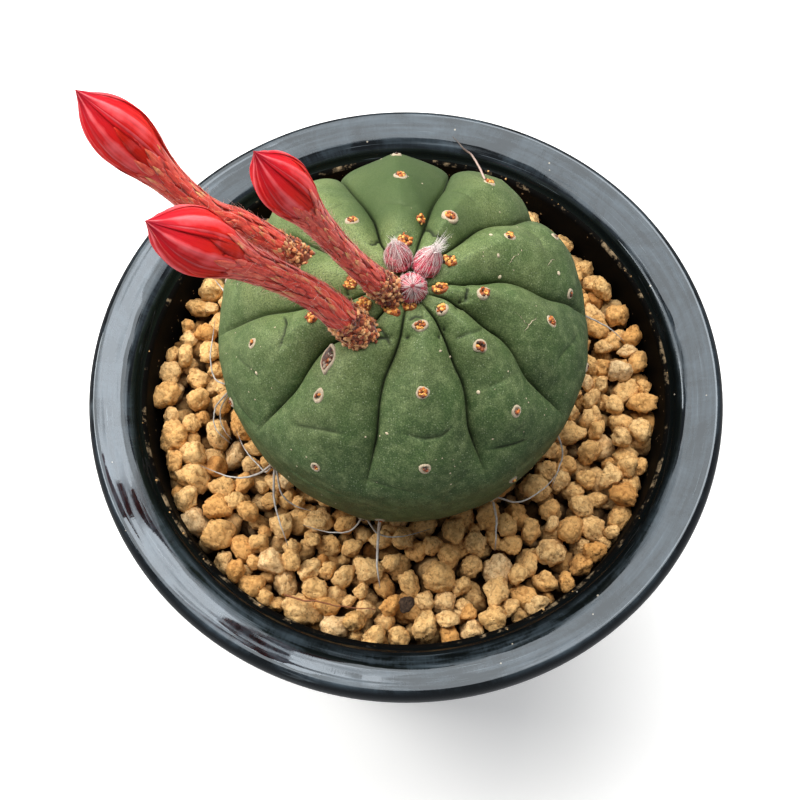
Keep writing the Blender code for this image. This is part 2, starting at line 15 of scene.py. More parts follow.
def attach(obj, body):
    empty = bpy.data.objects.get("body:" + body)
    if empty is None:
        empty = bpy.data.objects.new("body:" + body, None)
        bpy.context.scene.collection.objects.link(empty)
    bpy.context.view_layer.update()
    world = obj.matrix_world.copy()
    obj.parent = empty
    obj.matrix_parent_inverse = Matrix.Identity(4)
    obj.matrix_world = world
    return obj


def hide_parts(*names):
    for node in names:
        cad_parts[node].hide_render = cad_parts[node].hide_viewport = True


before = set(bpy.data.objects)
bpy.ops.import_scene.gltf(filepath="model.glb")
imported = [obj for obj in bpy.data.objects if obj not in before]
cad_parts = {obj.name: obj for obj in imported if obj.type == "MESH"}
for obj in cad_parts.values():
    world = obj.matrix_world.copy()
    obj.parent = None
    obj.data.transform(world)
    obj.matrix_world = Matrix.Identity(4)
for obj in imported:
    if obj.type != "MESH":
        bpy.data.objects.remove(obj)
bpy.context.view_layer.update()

# Pot: a round plant pot, injection-moulded in one piece in black polypropylene. Its wide rim, 135 mm across,
# slopes inward from a crest near its edge. A narrow ledge runs round inside its mouth, and eight holes drain
# its floor.
MM = 0.001
POT_HEIGHT = 96.0
POT_SIDES = 192
FLOOR_TOP = 3.6
RIM_CORNER = 0.46
LONGEST_CORNER = 3.0
CREST_RADIUS = 66.0
DRAIN_HOLES = 8
DRAIN_HOLE_RADIUS = 1.9
DRAIN_CIRCLE_RADIUS = 26.0
DRILL_REACH = (-5, 9)
DRILL_SIDES = 24
# The blue-grey film lies on the rim, full between the middle two of these radii: partly a film of lime,
# partly a painted reflection that lifts the rim's light band.
FILM_LEVEL = 93.0
FILM_RADII = (57.9, 59.5, 66.3, 67.1)
# The outline as (radius, height), from the middle of the underside up over the rim and down inside.
UNDERSIDE = ((0, 0), (12, 0), (12.8, 2), (41.7, 2), (42.5, 0), (46, 0), (46.8, 0.8))
OUTER_WALL = ((57.4, 89), (58.8, 92.4), (64.4, 92.5), (65.8, 91.8), (66.2, 90.5))
LIP = ((67.2, 90.5), (67.7, 91.6), (67.75, 92.8), (67.6, 93.9), (67.3, 94.75), (66.95, 95.3), (66.6, 95.65))
CREST = ((66.2, 95.84), (65.8, 95.84), (65.3, 95.74), (64.9, 95.65), (64.5, 95.52), (63.2, 95.22))
RIM_SLOPE = ((62.0, 94.94), (61.3, 94.73), (60.4, 94.41), (59.3, 93.95), (58.6, 93.62), (57.9, 93.1))
LEDGE = ((57.5, 92.6), (57.1, 92.2), (56.6, 91.85), (56.1, 91.55), (55.7, 91.0))
INNER_WALL = ((45.1, FLOOR_TOP), (0, FLOOR_TOP))


def linear(code):
    """An sRGB hex colour as the linear RGBA that the nodes work in."""
    parts = [int(code[i : i + 2], 16) / 255 for i in (1, 3, 5)]
    return (*(p / 12.92 if p <= 0.04045 else ((p + 0.055) / 1.055) ** 2.4 for p in parts), 1)


def new_material(name, sockets):
    """A material and its one shader, with these sockets set."""
    made = bpy.data.materials.new(name)
    made.use_nodes = True
    shader = made.node_tree.nodes["Principled BSDF"]
    for socket, value in sockets.items():
        shader.inputs[socket].default_value = value
    return made, shader


def add_node(material, kind, inputs=None, stops=(), **settings):
    """Adds a node with its settings, its inputs linked or set, and a ramp's stops, and gives its outputs. Its
    hex colours are turned to linear."""
    node = material.node_tree.nodes.new("ShaderNode" + kind)
    for name, value in settings.items():
        setattr(node, name, value)
    for socket, value in (inputs or {}).items():
        if isinstance(value, bpy.types.NodeSocket):
            material.node_tree.links.new(value, node.inputs[socket])
        else:
            node.inputs[socket].default_value = linear(value) if isinstance(value, str) else value
    for number, (place, colour) in enumerate(stops):
        ramp = node.color_ramp.elements
        stop = ramp[number] if number < 2 else ramp.new(place)
        stop.position = place
        stop.color = linear(colour)
    return node.outputs


def washed(material, colour, washes):
    """Washes of colour over a colour. Each has its source, the source's values where it starts and ends, how
    strong it is at those, and its own colour."""
    for source, start, end, strong_at_start, strong_at_end, wash in washes:
        reach = {0: source, 1: start, 2: end, 3: strong_at_start, 4: strong_at_end}
        amount = add_node(material, "MapRange", reach)[0]
        colour = add_node(material, "Mix", {0: amount, 6: colour, 7: wash}, data_type="RGBA")[2]
    return colour


def dressed(material, shader, outputs):
    """The material, once these outputs feed its shader's sockets."""
    for socket, output in outputs.items():
        material.node_tree.links.new(output, shader.inputs[socket])
    return material


def round_angles(count):
    """This many angles, once round."""
    return np.arange(count) * 2 * math.pi / count


def grid_faces(rows, columns):
    """Four-sided faces between rows of points that each run once round."""
    i = np.arange(columns)
    low = np.arange(rows - 1)[:, None] * columns
    right = (i + 1) % columns
    faces = np.stack([low + i, low + right, low + right + columns, low + i + columns], -1)
    return faces.reshape(-1, 4).tolist()


def closed_faces(rows, columns, flat=False):
    """The same with both ends shut, flat or by fans to two more points, which stand after the rows."""
    low, last = rows * columns, (rows - 1) * columns
    if flat:
        return grid_faces(rows, columns) + [tuple(range(columns))[::-1], tuple(range(last, low))]
    sides = [(i, (i + 1) % columns) for i in range(columns)]
    fans = [(low, b, a) for a, b in sides] + [(last + a, last + b, low + 1) for a, b in sides]
    return grid_faces(rows, columns) + fans


def make_piece(name, points, faces, finish, nodes, values=None):
    """A smooth mesh that rides on the plant's one body and stands for these CAD nodes."""
    mesh = bpy.data.meshes.new(name)
    mesh.from_pydata((np.asarray(points, float) * MM).tolist(), [], faces)
    for label, numbers in (values or {}).items():
        mesh.attributes.new(label, "FLOAT", "POINT").data.foreach_set("value", np.asarray(numbers, float))
    mesh.materials.append(finish)
    solid = bmesh.new()
    solid.from_mesh(mesh)
    bmesh.ops.recalc_face_normals(solid, faces=solid.faces)
    solid.to_mesh(mesh)
    solid.free()
    mesh.shade_smooth()
    piece = bpy.data.objects.new(name, mesh)
    bpy.context.scene.collection.objects.link(piece)
    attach(piece, "root")
    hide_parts(*nodes)
    return piece


def rounded(corners, share, steps=4):
    """The outline with its corners drawn round, each by this share of its shorter side."""
    corners = [np.array(c, float) for c in corners]
    made = [corners[0]]
    for before, corner, after in zip(corners, corners[1:], corners[2:]):
        cut = share * min(np.linalg.norm(before - corner), np.linalg.norm(after - corner), LONGEST_CORNER)
        start = corner + (before - corner) / np.linalg.norm(before - corner) * cut
        end = corner + (after - corner) / np.linalg.norm(after - corner) * cut
        for t in np.linspace(0, 1, steps):
            made.append((1 - t) ** 2 * start + 2 * t * (1 - t) * corner + t**2 * end)
    return np.array(made + [corners[-1]])


def turned(profile, sides):
    """Points and faces of a turned solid whose profile starts and ends on the axis."""
    turn = round_angles(sides)
    radius, height = profile[1:-1, :1], profile[1:-1, 1:]
    rings = np.stack([radius * np.cos(turn), radius * np.sin(turn), height + 0 * turn], -1).reshape(-1, 3)
    points = np.concatenate([rings, [(0, 0, profile[0][1]), (0, 0, profile[-1][1])]])
    return points, closed_faces(len(profile) - 2, sides)


def dust_specks(material, place, closeness, rarity, widest):
    """A mask of round specks, which lie in the rarest of a pattern's cells, each of its own size."""
    cells = add_node(material, "TexVoronoi", {"Vector": place, "Scale": closeness})
    sizes = add_node(material, "SeparateColor", {0: cells["Color"]})
    kept = add_node(material, "Math", {0: sizes[0], 1: rarity}, operation="GREATER_THAN")[0]
    reach = add_node(material, "MapRange", {0: sizes[1], 3: 0.05, 4: widest})[0]
    near = add_node(material, "Math", {0: cells["Distance"], 1: reach}, operation="LESS_THAN")[0]
    return add_node(material, "Math", {0: kept, 1: near}, operation="MULTIPLY")[0]


def make_pot_finish():
    """Black polypropylene, moulded and handled: a glossy near black with matt smears and a thin blue-grey
    film on the rim that is partly lime and partly a painted reflection of its light band, fine scuffs across
    the rim, hairline scratches round it, and pale specks of dust."""
    gloss = {"IOR": 1.49, "Specular IOR Level": 0.59, "Specular Tint": linear("#dfeaf5")}
    plastic, shader = new_material("black_polypropylene", gloss)
    place = add_node(plastic, "TexCoord")["Object"]
    crest = add_node(plastic, "Attribute", attribute_name="crest")["Fac"]
    parts = add_node(plastic, "SeparateXYZ", {0: place})
    flat = add_node(plastic, "CombineXYZ", {0: parts["X"], 1: parts["Y"]})[0]
    away = add_node(plastic, "VectorMath", {0: flat}, operation="LENGTH")["Value"]
    travel = add_node(plastic, "Math", {0: parts["Z"], 1: 0.9, 2: away}, operation="MULTIPLY_ADD")[0]
    way = add_node(plastic, "VectorMath", {0: flat}, operation="NORMALIZE")["Vector"]
    # Scuffs lie 0.5 mm apart and run 4 mm across the rim. Scratches lie 0.3 mm apart and run 25 mm round it,
    # and smears lie 1.2 mm apart and run 22 mm round it.
    patterns = []
    for mm_round, mm_across in ((0.5, 4.0), (25, 0.3), (22, 1.2)):
        depth = add_node(plastic, "Math", {0: travel, 1: 1 / mm_across / MM}, operation="MULTIPLY")[0]
        lift = add_node(plastic, "CombineXYZ", {2: depth})[0]
        spread = {0: way, 1: (CREST_RADIUS / mm_round,) * 3, 2: lift}
        spot = add_node(plastic, "VectorMath", spread, operation="MULTIPLY_ADD")["Vector"]
        patterns.append(add_node(plastic, "TexNoise", {"Vector": spot, "Scale": 1.0, "Detail": 3.0})["Fac"])
    scuffs, scratches, smears = patterns
    cloudy = {"Vector": place, "Scale": 60.0, "Detail": 5.0, "Roughness": 0.65, "Distortion": 1.5}
    film = add_node(plastic, "TexNoise", cloudy)["Fac"]
    smeared = add_node(plastic, "Math", {0: smears, 1: 0.7, 2: film}, operation="MULTIPLY_ADD")[0]
    filmed = add_node(plastic, "Math", {0: scuffs, 1: 0.15, 2: smeared}, operation="MULTIPLY_ADD")[0]
    amount = add_node(plastic, "MapRange", {0: filmed, 1: 0.82, 2: 1.2})[0]
    # The film is partly lime and partly a painted reflection on the rim's light band.
    film_and_painted_reflection = add_node(plastic, "Math", {0: amount, 1: crest}, operation="MULTIPLY")[0]
    patch = add_node(plastic, "TexNoise", {"Vector": place, "Scale": 90.0, "Detail": 1.0})["Fac"]
    patches = add_node(plastic, "MapRange", {0: patch, 1: 0.5, 2: 0.62})[0]
    thin = add_node(plastic, "MapRange", {0: scratches, 1: 0.66, 2: 0.72, 3: 0.0, 4: 0.5})[0]
    scratched = add_node(plastic, "Math", {0: thin, 1: patches}, operation="MULTIPLY")[0]
    # Specks of lime and clay dust, 0.1 to 0.3 mm across.
    specks = dust_specks(plastic, place, 800.0, 0.965, 0.2)
    washes = (
        (film_and_painted_reflection, 0, 1, 0, 1, "#353f47"),
        (scratched, 0, 1, 0, 1, "#6f7a82"),
        (specks, 0, 1, 0, 1, "#8f887c"),
    )
    colour = washed(plastic, "#07090b", washes)
    roughness = add_node(plastic, "MapRange", {0: smears, 1: 0.48, 2: 0.68, 3: 0.03, 4: 0.3})[0]
    # The moulding's slow waves, about 12 mm long and under a degree steep, which bend what it mirrors.
    slow = {"Vector": place, "Scale": 80.0, "Detail": 0.5, "Distortion": 0.8}
    waves = add_node(plastic, "TexNoise", slow)["Fac"]
    wavy = add_node(plastic, "Bump", {"Strength": 1.0, "Distance": 0.1 * MM, "Height": waves})[0]
    height = add_node(plastic, "Math", {0: specks, 1: 1.5, 2: scuffs}, operation="MULTIPLY_ADD")[0]
    fine = {"Strength": 0.15, "Distance": 0.012 * MM, "Height": height, "Normal": wavy}
    bump = add_node(plastic, "Bump", fine)[0]
    return dressed(plastic, shader, {"Base Color": colour, "Roughness": roughness, "Normal": bump})


def make_wall_finish():
    """The pot's inner wall: the same black plastic made darker and almost unreflective as painted shade, with
    dried clay slip and thick clay dust on it.
    """
    dusty_and_shaded = {"Roughness": 0.75, "IOR": 1.49, "Specular IOR Level": 0.05}
    dull, shader = new_material("black_polypropylene_dusty_and_shaded", dusty_and_shaded)
    place = add_node(dull, "TexCoord")["Object"]
    rough = {"Vector": place, "Roughness": 0.7}
    slip, smear = (
        add_node(dull, "TexNoise", {**rough, "Scale": scale, "Detail": detail})["Fac"]
        for scale, detail in ((260, 6), (300, 5))
    )
    dust = dust_specks(dull, place, 900.0, 0.86, 0.22)
    # Granules rubbed pale smears, 1 to 3 mm long, into the ledge's edge.
    height = add_node(dull, "SeparateXYZ", {0: place})[2]
    edge = add_node(dull, "MapRange", {0: height, 1: 91.1 * MM, 2: 91.4 * MM})[0]
    smears = add_node(dull, "MapRange", {0: smear, 1: 0.55, 2: 0.68, 3: 0.0, 4: 0.9})[0]
    rubbed = add_node(dull, "Math", {0: smears, 1: edge}, operation="MULTIPLY")[0]
    washes = (
        (slip, 0.45, 0.75, 0, 0.7, "#0b0806"),
        (dust, 0, 1, 0, 1, "#8a7458"),
        (rubbed, 0, 1, 0, 1, "#8f7c62"),
    )
    # The near-black base is painted shade; the slip, dust and rubbed smears are real dirt.
    colour = washed(dull, "#030303", washes)
    bump = add_node(dull, "Bump", {"Strength": 0.4, "Distance": 0.06 * MM, "Height": slip})[0]
    return dressed(dull, shader, {"Base Color": colour, "Normal": bump})


def make_pot():
    """The turned pot, dusty and in painted shade inside below its ledge, with the drain holes cut through its
    floor.
    """
    profile = rounded([*UNDERSIDE, *OUTER_WALL, *LIP, *CREST, *RIM_SLOPE, *LEDGE, *INNER_WALL], RIM_CORNER)
    points, faces = turned(profile, POT_SIDES)
    radius, height = profile[1:-1].T
    # Where the film lies: partly lime, partly a painted reflection on the flat crest.
    crest = (height > FILM_LEVEL) * np.interp(radius, FILM_RADII, (0, 1, 1, 0))
    values = {"crest": [*np.repeat(crest, POT_SIDES), 0, 0]}
    pot = make_piece("plant_pot", points, faces, make_pot_finish(), ["pot"], values)
    pot.data.materials.append(make_wall_finish())
    below_ledge = (radius < LEDGE[2][0] + 0.1) & (height > FLOOR_TOP - 0.01)
    below_ledge = np.append(np.repeat(below_ledge, POT_SIDES), (False, True))
    dusty_and_shaded = [below_ledge[list(face)].all() for face in faces]
    pot.data.polygons.foreach_set("material_index", np.array(dusty_and_shaded, int))
    low, high = DRILL_REACH
    column = np.array([(0, low), (DRAIN_HOLE_RADIUS, low), (DRAIN_HOLE_RADIUS, high), (0, high)])
    column, sides = turned(column, DRILL_SIDES)
    drill_points, drill_faces = [], []
    for turn in round_angles(DRAIN_HOLES) + math.pi / DRAIN_HOLES:
        middle = DRAIN_CIRCLE_RADIUS * np.array((math.cos(turn), math.sin(turn), 0))
        drill_faces += [tuple(i + len(drill_points) for i in face) for face in sides]
        drill_points += (column + middle).tolist()
    drill_mesh = bpy.data.meshes.new("drain_drill")
    drill_mesh.from_pydata((np.array(drill_points) * MM).tolist(), [], drill_faces)
    drill = bpy.data.objects.new("drain_drill", drill_mesh)
    bpy.context.scene.collection.objects.link(drill)
    cut = pot.modifiers.new("drain_holes", "BOOLEAN")
    cut.operation = "DIFFERENCE"
    cut.object = drill
    graph = bpy.context.evaluated_depsgraph_get()
    holed = bpy.data.meshes.new_from_object(pot.evaluated_get(graph))
    pot.modifiers.clear()
    pot.data = holed
    bpy.data.objects.remove(drill)


make_pot()


# Grit: loose granules of hard baked clay, about 5 mm across, poured round the root and left where they
# settled. They are crumbly and pitted, with their edges rubbed round, over a bed of finer clay.
WALL_TOP_RADIUS = 55.4
WALL_FOOT_RADIUS = 45.1
WALL_TOP = 91.0
PLANT_AXIS = (-0.6, 5.2)
ROOT_ROOM = 27.5
BED_TOP = 76.0
BED_HOLE = 14.5
GRIT_TOP = 86.9
GRAIN_SIZE = (2.15, 0.5, 1.3, 3.5)
GRAIN_CLOSENESS = 0.96
GRAIN_MOULDS = 16
GRAIN_FINENESS = 8
BURIED_FINENESS = 4
BURIED_BELOW = 82.0
GRAINS_IN_PIECE = 240
GRAIN_FLATS = 9
GRAIN_PITS = 20
# Each granule is tried at so many places, and the heap is full once so many granules found none. Beside the
# wall a granule keeps this share of its radius free.
DROPS = 70
MISSES_WHEN_FULL = 80
ROOM_AT_WALL = 0.7
BED_SIDES = 96
BED_GAP = 0.3


def inner_wall_radius(height):
    """The pot's inner wall, a straight taper from the floor to the mouth."""
    share = (height - FLOOR_TOP) / (WALL_TOP - FLOOR_TOP)
    return WALL_FOOT_RADIUS + (WALL_TOP_RADIUS - WALL_FOOT_RADIUS) * share


def make_clay_finish():
    """Baked clay: dead matt and ochre, each granule fired a little lighter or darker, with a coarse crumb
    that catches the light. Painted shade darkens its pits, pores and cracks to brown, and the clay deeper in
    the heap."""
    clay, shader = new_material("baked_clay", {"Roughness": 0.95, "Specular IOR Level": 0.25, "IOR": 1.5})
    place = add_node(clay, "TexCoord")["Object"]
    tone, pit = (add_node(clay, "Attribute", attribute_name=name)["Fac"] for name in ("tone", "pit"))
    stops = ((0.0, "#b9824a"), (0.22, "#e6ac66"), (0.55, "#f6ca88"), (0.85, "#f9d397"), (1.0, "#fbdba8"))
    fired = add_node(clay, "ValToRGB", {0: tone}, stops)[0]
    # Patches 2 mm across, knobs of 0.9 mm with cracks between them, a crumb of 0.4 mm and pores of 0.3 mm.
    patches = add_node(clay, "TexNoise", {"Vector": place, "Scale": 480.0, "Detail": 4.0})["Fac"]
    crumb = add_node(clay, "TexNoise", {"Vector": place, "Scale": 2500.0, "Detail": 5.0, "Roughness": 0.7})
    drift = {0: crumb["Color"], 1: (0.7 * MM,) * 3, 2: place}
    shifted = add_node(clay, "VectorMath", drift, operation="MULTIPLY_ADD")[0]
    knobs = add_node(clay, "TexVoronoi", {"Vector": shifted, "Scale": 1100.0})["Distance"]
    pores = add_node(clay, "TexVoronoi", {"Vector": place, "Scale": 1250.0})["Distance"]
    # Painted shade: the pores and the cracks between the knobs are darkened.
    pore = add_node(clay, "MapRange", {0: pores, 1: 0.08, 2: 0.24, 3: 0.95, 4: 0.0})[0]
    pore_shadow = add_node(clay, "Math", {0: pore, 1: patches}, operation="MULTIPLY")[0]
    # Painted shade: the clay is darkened from 3 mm under the surface downwards, where the granules shade it.
    level = add_node(clay, "SeparateXYZ", {0: place})[2]
    # Painted shade darkens the pits, pores and cracks and the deeper clay; the patches and crumb are the
    # clay's own tone.
    washes = (
        (patches, 0.38, 0.66, 0, 0.35, "#e3a559"),
        (crumb["Fac"], 0.34, 0.52, 0.45, 0, "#c0833f"),
        (knobs, 0.52, 0.72, 0, 0.4, "#8c5522"),
        (pore_shadow, 0, 1, 0, 1, "#5f3819"),
        (pit, 0.45, 1, 0, 0.5, "#86542a"),
        (level, 79.3 * MM, 83.3 * MM, 0.92, 0, "#3d2310"),
    )
    colour = washed(clay, fired, washes)
    cracks = add_node(clay, "Math", {0: knobs, 1: -0.55, 2: crumb["Fac"]}, operation="MULTIPLY_ADD")[0]
    rough = add_node(clay, "Math", {0: pore, 1: -0.5, 2: cracks}, operation="MULTIPLY_ADD")[0]
    bump = add_node(clay, "Bump", {"Strength": 1.0, "Distance": 0.4 * MM, "Height": rough})[0]
    return dressed(clay, shader, {"Base Color": colour, "Normal": bump})


def ball(fineness):
    """A ball's points and faces: a cube with its sides split and blown round."""
    steps = np.tan(np.linspace(-math.pi / 4, math.pi / 4, fineness + 1))
    u, v = np.meshgrid(steps, steps, indexing="ij")
    one = np.ones_like(u)
    sides = ((one, u, v), (-one, v, u), (v, one, u), (u, -one, v), (u, v, one), (v, u, -one))
    points = np.concatenate([np.stack(side, -1).reshape(-1, 3) for side in sides])
    points /= np.linalg.norm(points, axis=1, keepdims=True)
    row = fineness + 1
    cell = (np.arange(fineness)[:, None] * row + np.arange(fineness)).ravel()
    faces = np.stack([cell, cell + row, cell + row + 1, cell + 1], -1)
    faces = np.concatenate([faces + side * row**2 for side in range(6)])
    merged, where = np.unique(points.round(6), axis=0, return_inverse=True)
    return merged, where.ravel()[faces]


def noise_at(points, scale, offset=(0, 0, 0)):
    """Smooth noise, about -1 to 1, at each point."""
    return np.array([noise.noise(Vector(p)) for p in np.asarray(points) * scale + offset])


def directions(dice, count):
    """Unit vectors, every way alike."""
    ways = dice.normal(size=(count, 3))
    return ways / np.linalg.norm(ways, axis=1, keepdims=True)


def clay_granule(dice, fineness):
    """One crumbly granule about 1 across: flat sides worn into each other, lumps, and small pits. It comes
    with how deep in a pit or a hollow between lumps each point lies, from 0 to 1, which sets its painted
    shade."""
    ways, faces = ball(fineness)
    flats = directions(dice, GRAIN_FLATS)
    facing = np.maximum(0, ways @ flats.T) / dice.uniform(0.7, 1.05, GRAIN_FLATS)
    radius = ((facing**12).sum(1) + (1 / 1.25) ** 12) ** (-1 / 12)
    shift = dice.uniform(0, 50, 3)
    swells = ((0.12, 1.7), (0.15, 3.6), (0.14, 7.5))
    lumps = sum(height * noise_at(ways, scale, shift) for height, scale in swells)
    centres = directions(dice, GRAIN_PITS)
    spans = dice.uniform(0.13, 0.3, GRAIN_PITS)
    apart = np.arccos(np.clip(ways @ centres.T, -1, 1))
    pits = np.maximum(0, 1 - (apart / spans) ** 2).max(1)
    radius = radius + lumps - 0.17 * pits
    depth = np.clip(0.75 * pits - 4.5 * lumps, 0, 1)
    return ways * (radius / radius.mean())[:, None], faces, depth


def settled_grains(dice):
    """Where the granules lie, as (x, y, z, radius): each is tried at many places and lies in the lowest."""
    placed = np.empty((0, 4))
    mean, spread, least, most = GRAIN_SIZE
    misses = 0
    while misses < MISSES_WHEN_FULL:
        radius = np.clip(dice.normal(mean, spread), least, most)
        room = ROOM_AT_WALL * radius
        turn = dice.uniform(0, 2 * math.pi, DROPS)
        away = np.sqrt(dice.uniform(0, 1, DROPS)) * (inner_wall_radius(GRIT_TOP) - room)
        spots = np.stack([away * np.cos(turn), away * np.sin(turn)], -1)
        spots = spots[np.hypot(*(spots - PLANT_AXIS).T) > ROOT_ROOM + radius]
        apart = np.linalg.norm(spots[:, None] - placed[None, :, :2], axis=2)
        reach = (radius + placed[:, 3]) * GRAIN_CLOSENESS
        resting = np.where(apart < reach, placed[:, 2] + np.sqrt(np.maximum(0, reach**2 - apart**2)), 0)
        level = np.maximum(BED_TOP + radius * 0.6, resting.max(1, initial=0))
        best = np.argmin(level)
        if level[best] + radius > GRIT_TOP + dice.uniform(-0.6, 0.9):
            misses += 1
            continue
        limit = inner_wall_radius(level[best]) - room
        spot = spots[best] * min(1, limit / np.linalg.norm(spots[best]))
        placed = np.vstack([placed, (*spot, level[best], radius)])
    return placed


def random_turns(dice, count):
    """Rotations in every direction alike, as matrices."""
    quarters = dice.normal(size=(count, 4))
    w, x, y, z = (quarters / np.linalg.norm(quarters, axis=1, keepdims=True)).T
    rows = (
        (1 - 2 * (y * y + z * z), 2 * (x * y - w * z), 2 * (x * z + w * y)),
        (2 * (x * y + w * z), 1 - 2 * (x * x + z * z), 2 * (y * z - w * x)),
        (2 * (x * z - w * y), 2 * (y * z + w * x), 1 - 2 * (x * x + y * y)),
    )
    return np.array(rows).transpose(2, 0, 1)


def make_grit():
    """The granules, in pieces of a few hundred, with the buried ones first and plainer."""
    dice = np.random.default_rng(23)
    grains = settled_grains(dice)
    fine = [clay_granule(dice, GRAIN_FINENESS) for _ in range(GRAIN_MOULDS)]
    coarse = [clay_granule(dice, BURIED_FINENESS) for _ in range(GRAIN_MOULDS)]
    finish = make_clay_finish()
    turns = random_turns(dice, len(grains))
    seen = grains[:, 2] + grains[:, 3] > BURIED_BELOW
    order = np.concatenate([np.flatnonzero(~seen), np.flatnonzero(seen)])
    for number, start in enumerate(range(0, len(order), GRAINS_IN_PIECE), 1):
        points, faces, tones, depths = [], [], [], []
        count = 0
        for which in order[start : start + GRAINS_IN_PIECE]:
            x, y, z, radius = grains[which]
            shape, sides, depth = (fine if seen[which] else coarse)[dice.integers(GRAIN_MOULDS)]
            stretch = radius * 1.03 * np.array((dice.uniform(1.0, 1.2), 1.0, dice.uniform(0.78, 0.95)))
            points.append((shape * stretch) @ turns[which].T + (x, y, z))
            faces += (sides + count).tolist()
            count += len(shape)
            tones.append(np.full(len(shape), np.clip(dice.normal(0.58, 0.2), 0, 1)))
            depths.append(depth)
        points = np.concatenate(points)
        values = {"tone": np.concatenate(tones), "pit": np.concatenate(depths)}
        make_piece(f"clay_grit_{number}", points, faces, finish, ["grit"], values)
    make_grit_bed(finish)


def make_grit_bed(finish):
    """The finer clay under the granules, a ring from the wall to the root, down to the pot's floor."""
    dice = np.random.default_rng(5)
    foot = FLOOR_TOP + BED_GAP
    outline = [(1.0, foot), (0.0, foot), (0.0, BED_TOP), *((t, BED_TOP) for t in np.linspace(0.1, 1, 12))]
    turn = round_angles(BED_SIDES)
    ring = np.stack([np.cos(turn), np.sin(turn)], -1)
    inner = PLANT_AXIS + BED_HOLE * ring
    rows = []
    for share, height in outline:
        reach = inner_wall_radius(FLOOR_TOP if height < BED_TOP else BED_TOP) - BED_GAP
        outer = reach * ring
        level = np.full(BED_SIDES, height) + (dice.uniform(-0.5, 0.5, BED_SIDES) if 0 < share < 1 else 0)
        rows.append(np.column_stack([outer + (inner - outer) * (1 - share), level]))
    points = np.concatenate(rows)
    last = (len(rows) - 1) * BED_SIDES
    faces = grid_faces(len(rows), BED_SIDES)
    faces += [(last + i, last + (i + 1) % BED_SIDES, (i + 1) % BED_SIDES, i) for i in range(BED_SIDES)]
    # Painted shade: the bed takes the darkest tone and a deep pit shade.
    values = {"tone": np.full(len(points), 0.1), "pit": np.full(len(points), 0.8)}
    make_piece("clay_bed", points, faces, finish, ["grit"], values)


make_grit()


# Stem: one living flattened globe, 76 mm across, that ten sharp furrows part into round ribs. Short creases
# cut the ribs into chins, most of all round the crown, and a tapering root holds it in the grit.
STEM_CENTRE = (-0.6, 5.2, 111.0)
STEM_RADIUS = 37.9
STEM_LENGTHENING = 0.025
STEM_HALF_HEIGHT = 29.5
STEM_LOWER_FULLNESS = 0.4
STEM_FOOT_LATITUDE = -62
CROWN_LEAN = (1.0, -3.8)
CROWN_DIMPLE = 3.2
CROWN_DIMPLE_RADIUS = 7.0
FURROW_DEPTH = 3.0
FURROW_SHOULDER = 6.5
RIB_RIDGE = 2.1
# The back rib's extra peak: its azimuth, half its width in degrees, and its rise.
BACK_RIDGE = (93, 18, 1.9)
# Furrows start at this latitude at the sides, and so many degrees lower at the back and higher in front.
FURROW_FADE = (7, 15)
FURROW_LINE = 0.6
ROOT_NECK = ((13.0, -4.0), (8.0, -9.0), (5.0, -20.0), (2.5, -32.0))
COLUMNS_IN_RIB = 38

# Each furrow's azimuth in degrees at the crown, the shoulder and the waist, which are at these latitudes.
FURROWS = (
    (5, 11, 4), (49, 48, 41), (79, 77, 74), (119, 112, 113), (150, 148, 145),
    (189, 186, 183), (227, 214, 219.5), (261, 255, 258), (307, 301, 295), (340, 335, 327),
)
FURROW_LATITUDES = (78, 59, 36)

# Areoles down each rib, as (azimuth, latitude).
AREOLES = (
    ((32, 76), (31, 53), (28, 27), (7, 25), (18, -26)),
    ((62, 64), (58, 36), (58, 8), (60, -26)),
    ((95, 76), (82, 65), (93, 48), (93, 27), (93, 4), (95, -28)),
    ((127, 62), (131, 40), (131, 12), (130, -25)),
    ((175, 73), (166, 38), (165, 10), (163, -27)),
    ((206, 76), (198, 60), (196, 35), (206, 4), (193, -22)),
    ((238, 81), (222.3, 57), (231, 46), (242, 20), (222, -29)),
    ((284, 77), (277, 57), (276, 30), (263, -18), (257, -30)),
    ((322, 78), (318, 62), (312, 37), (304, -2), (300, -27)),
    ((354, 81), (354, 68), (350, 42), (345, 8), (332, -27)),
)
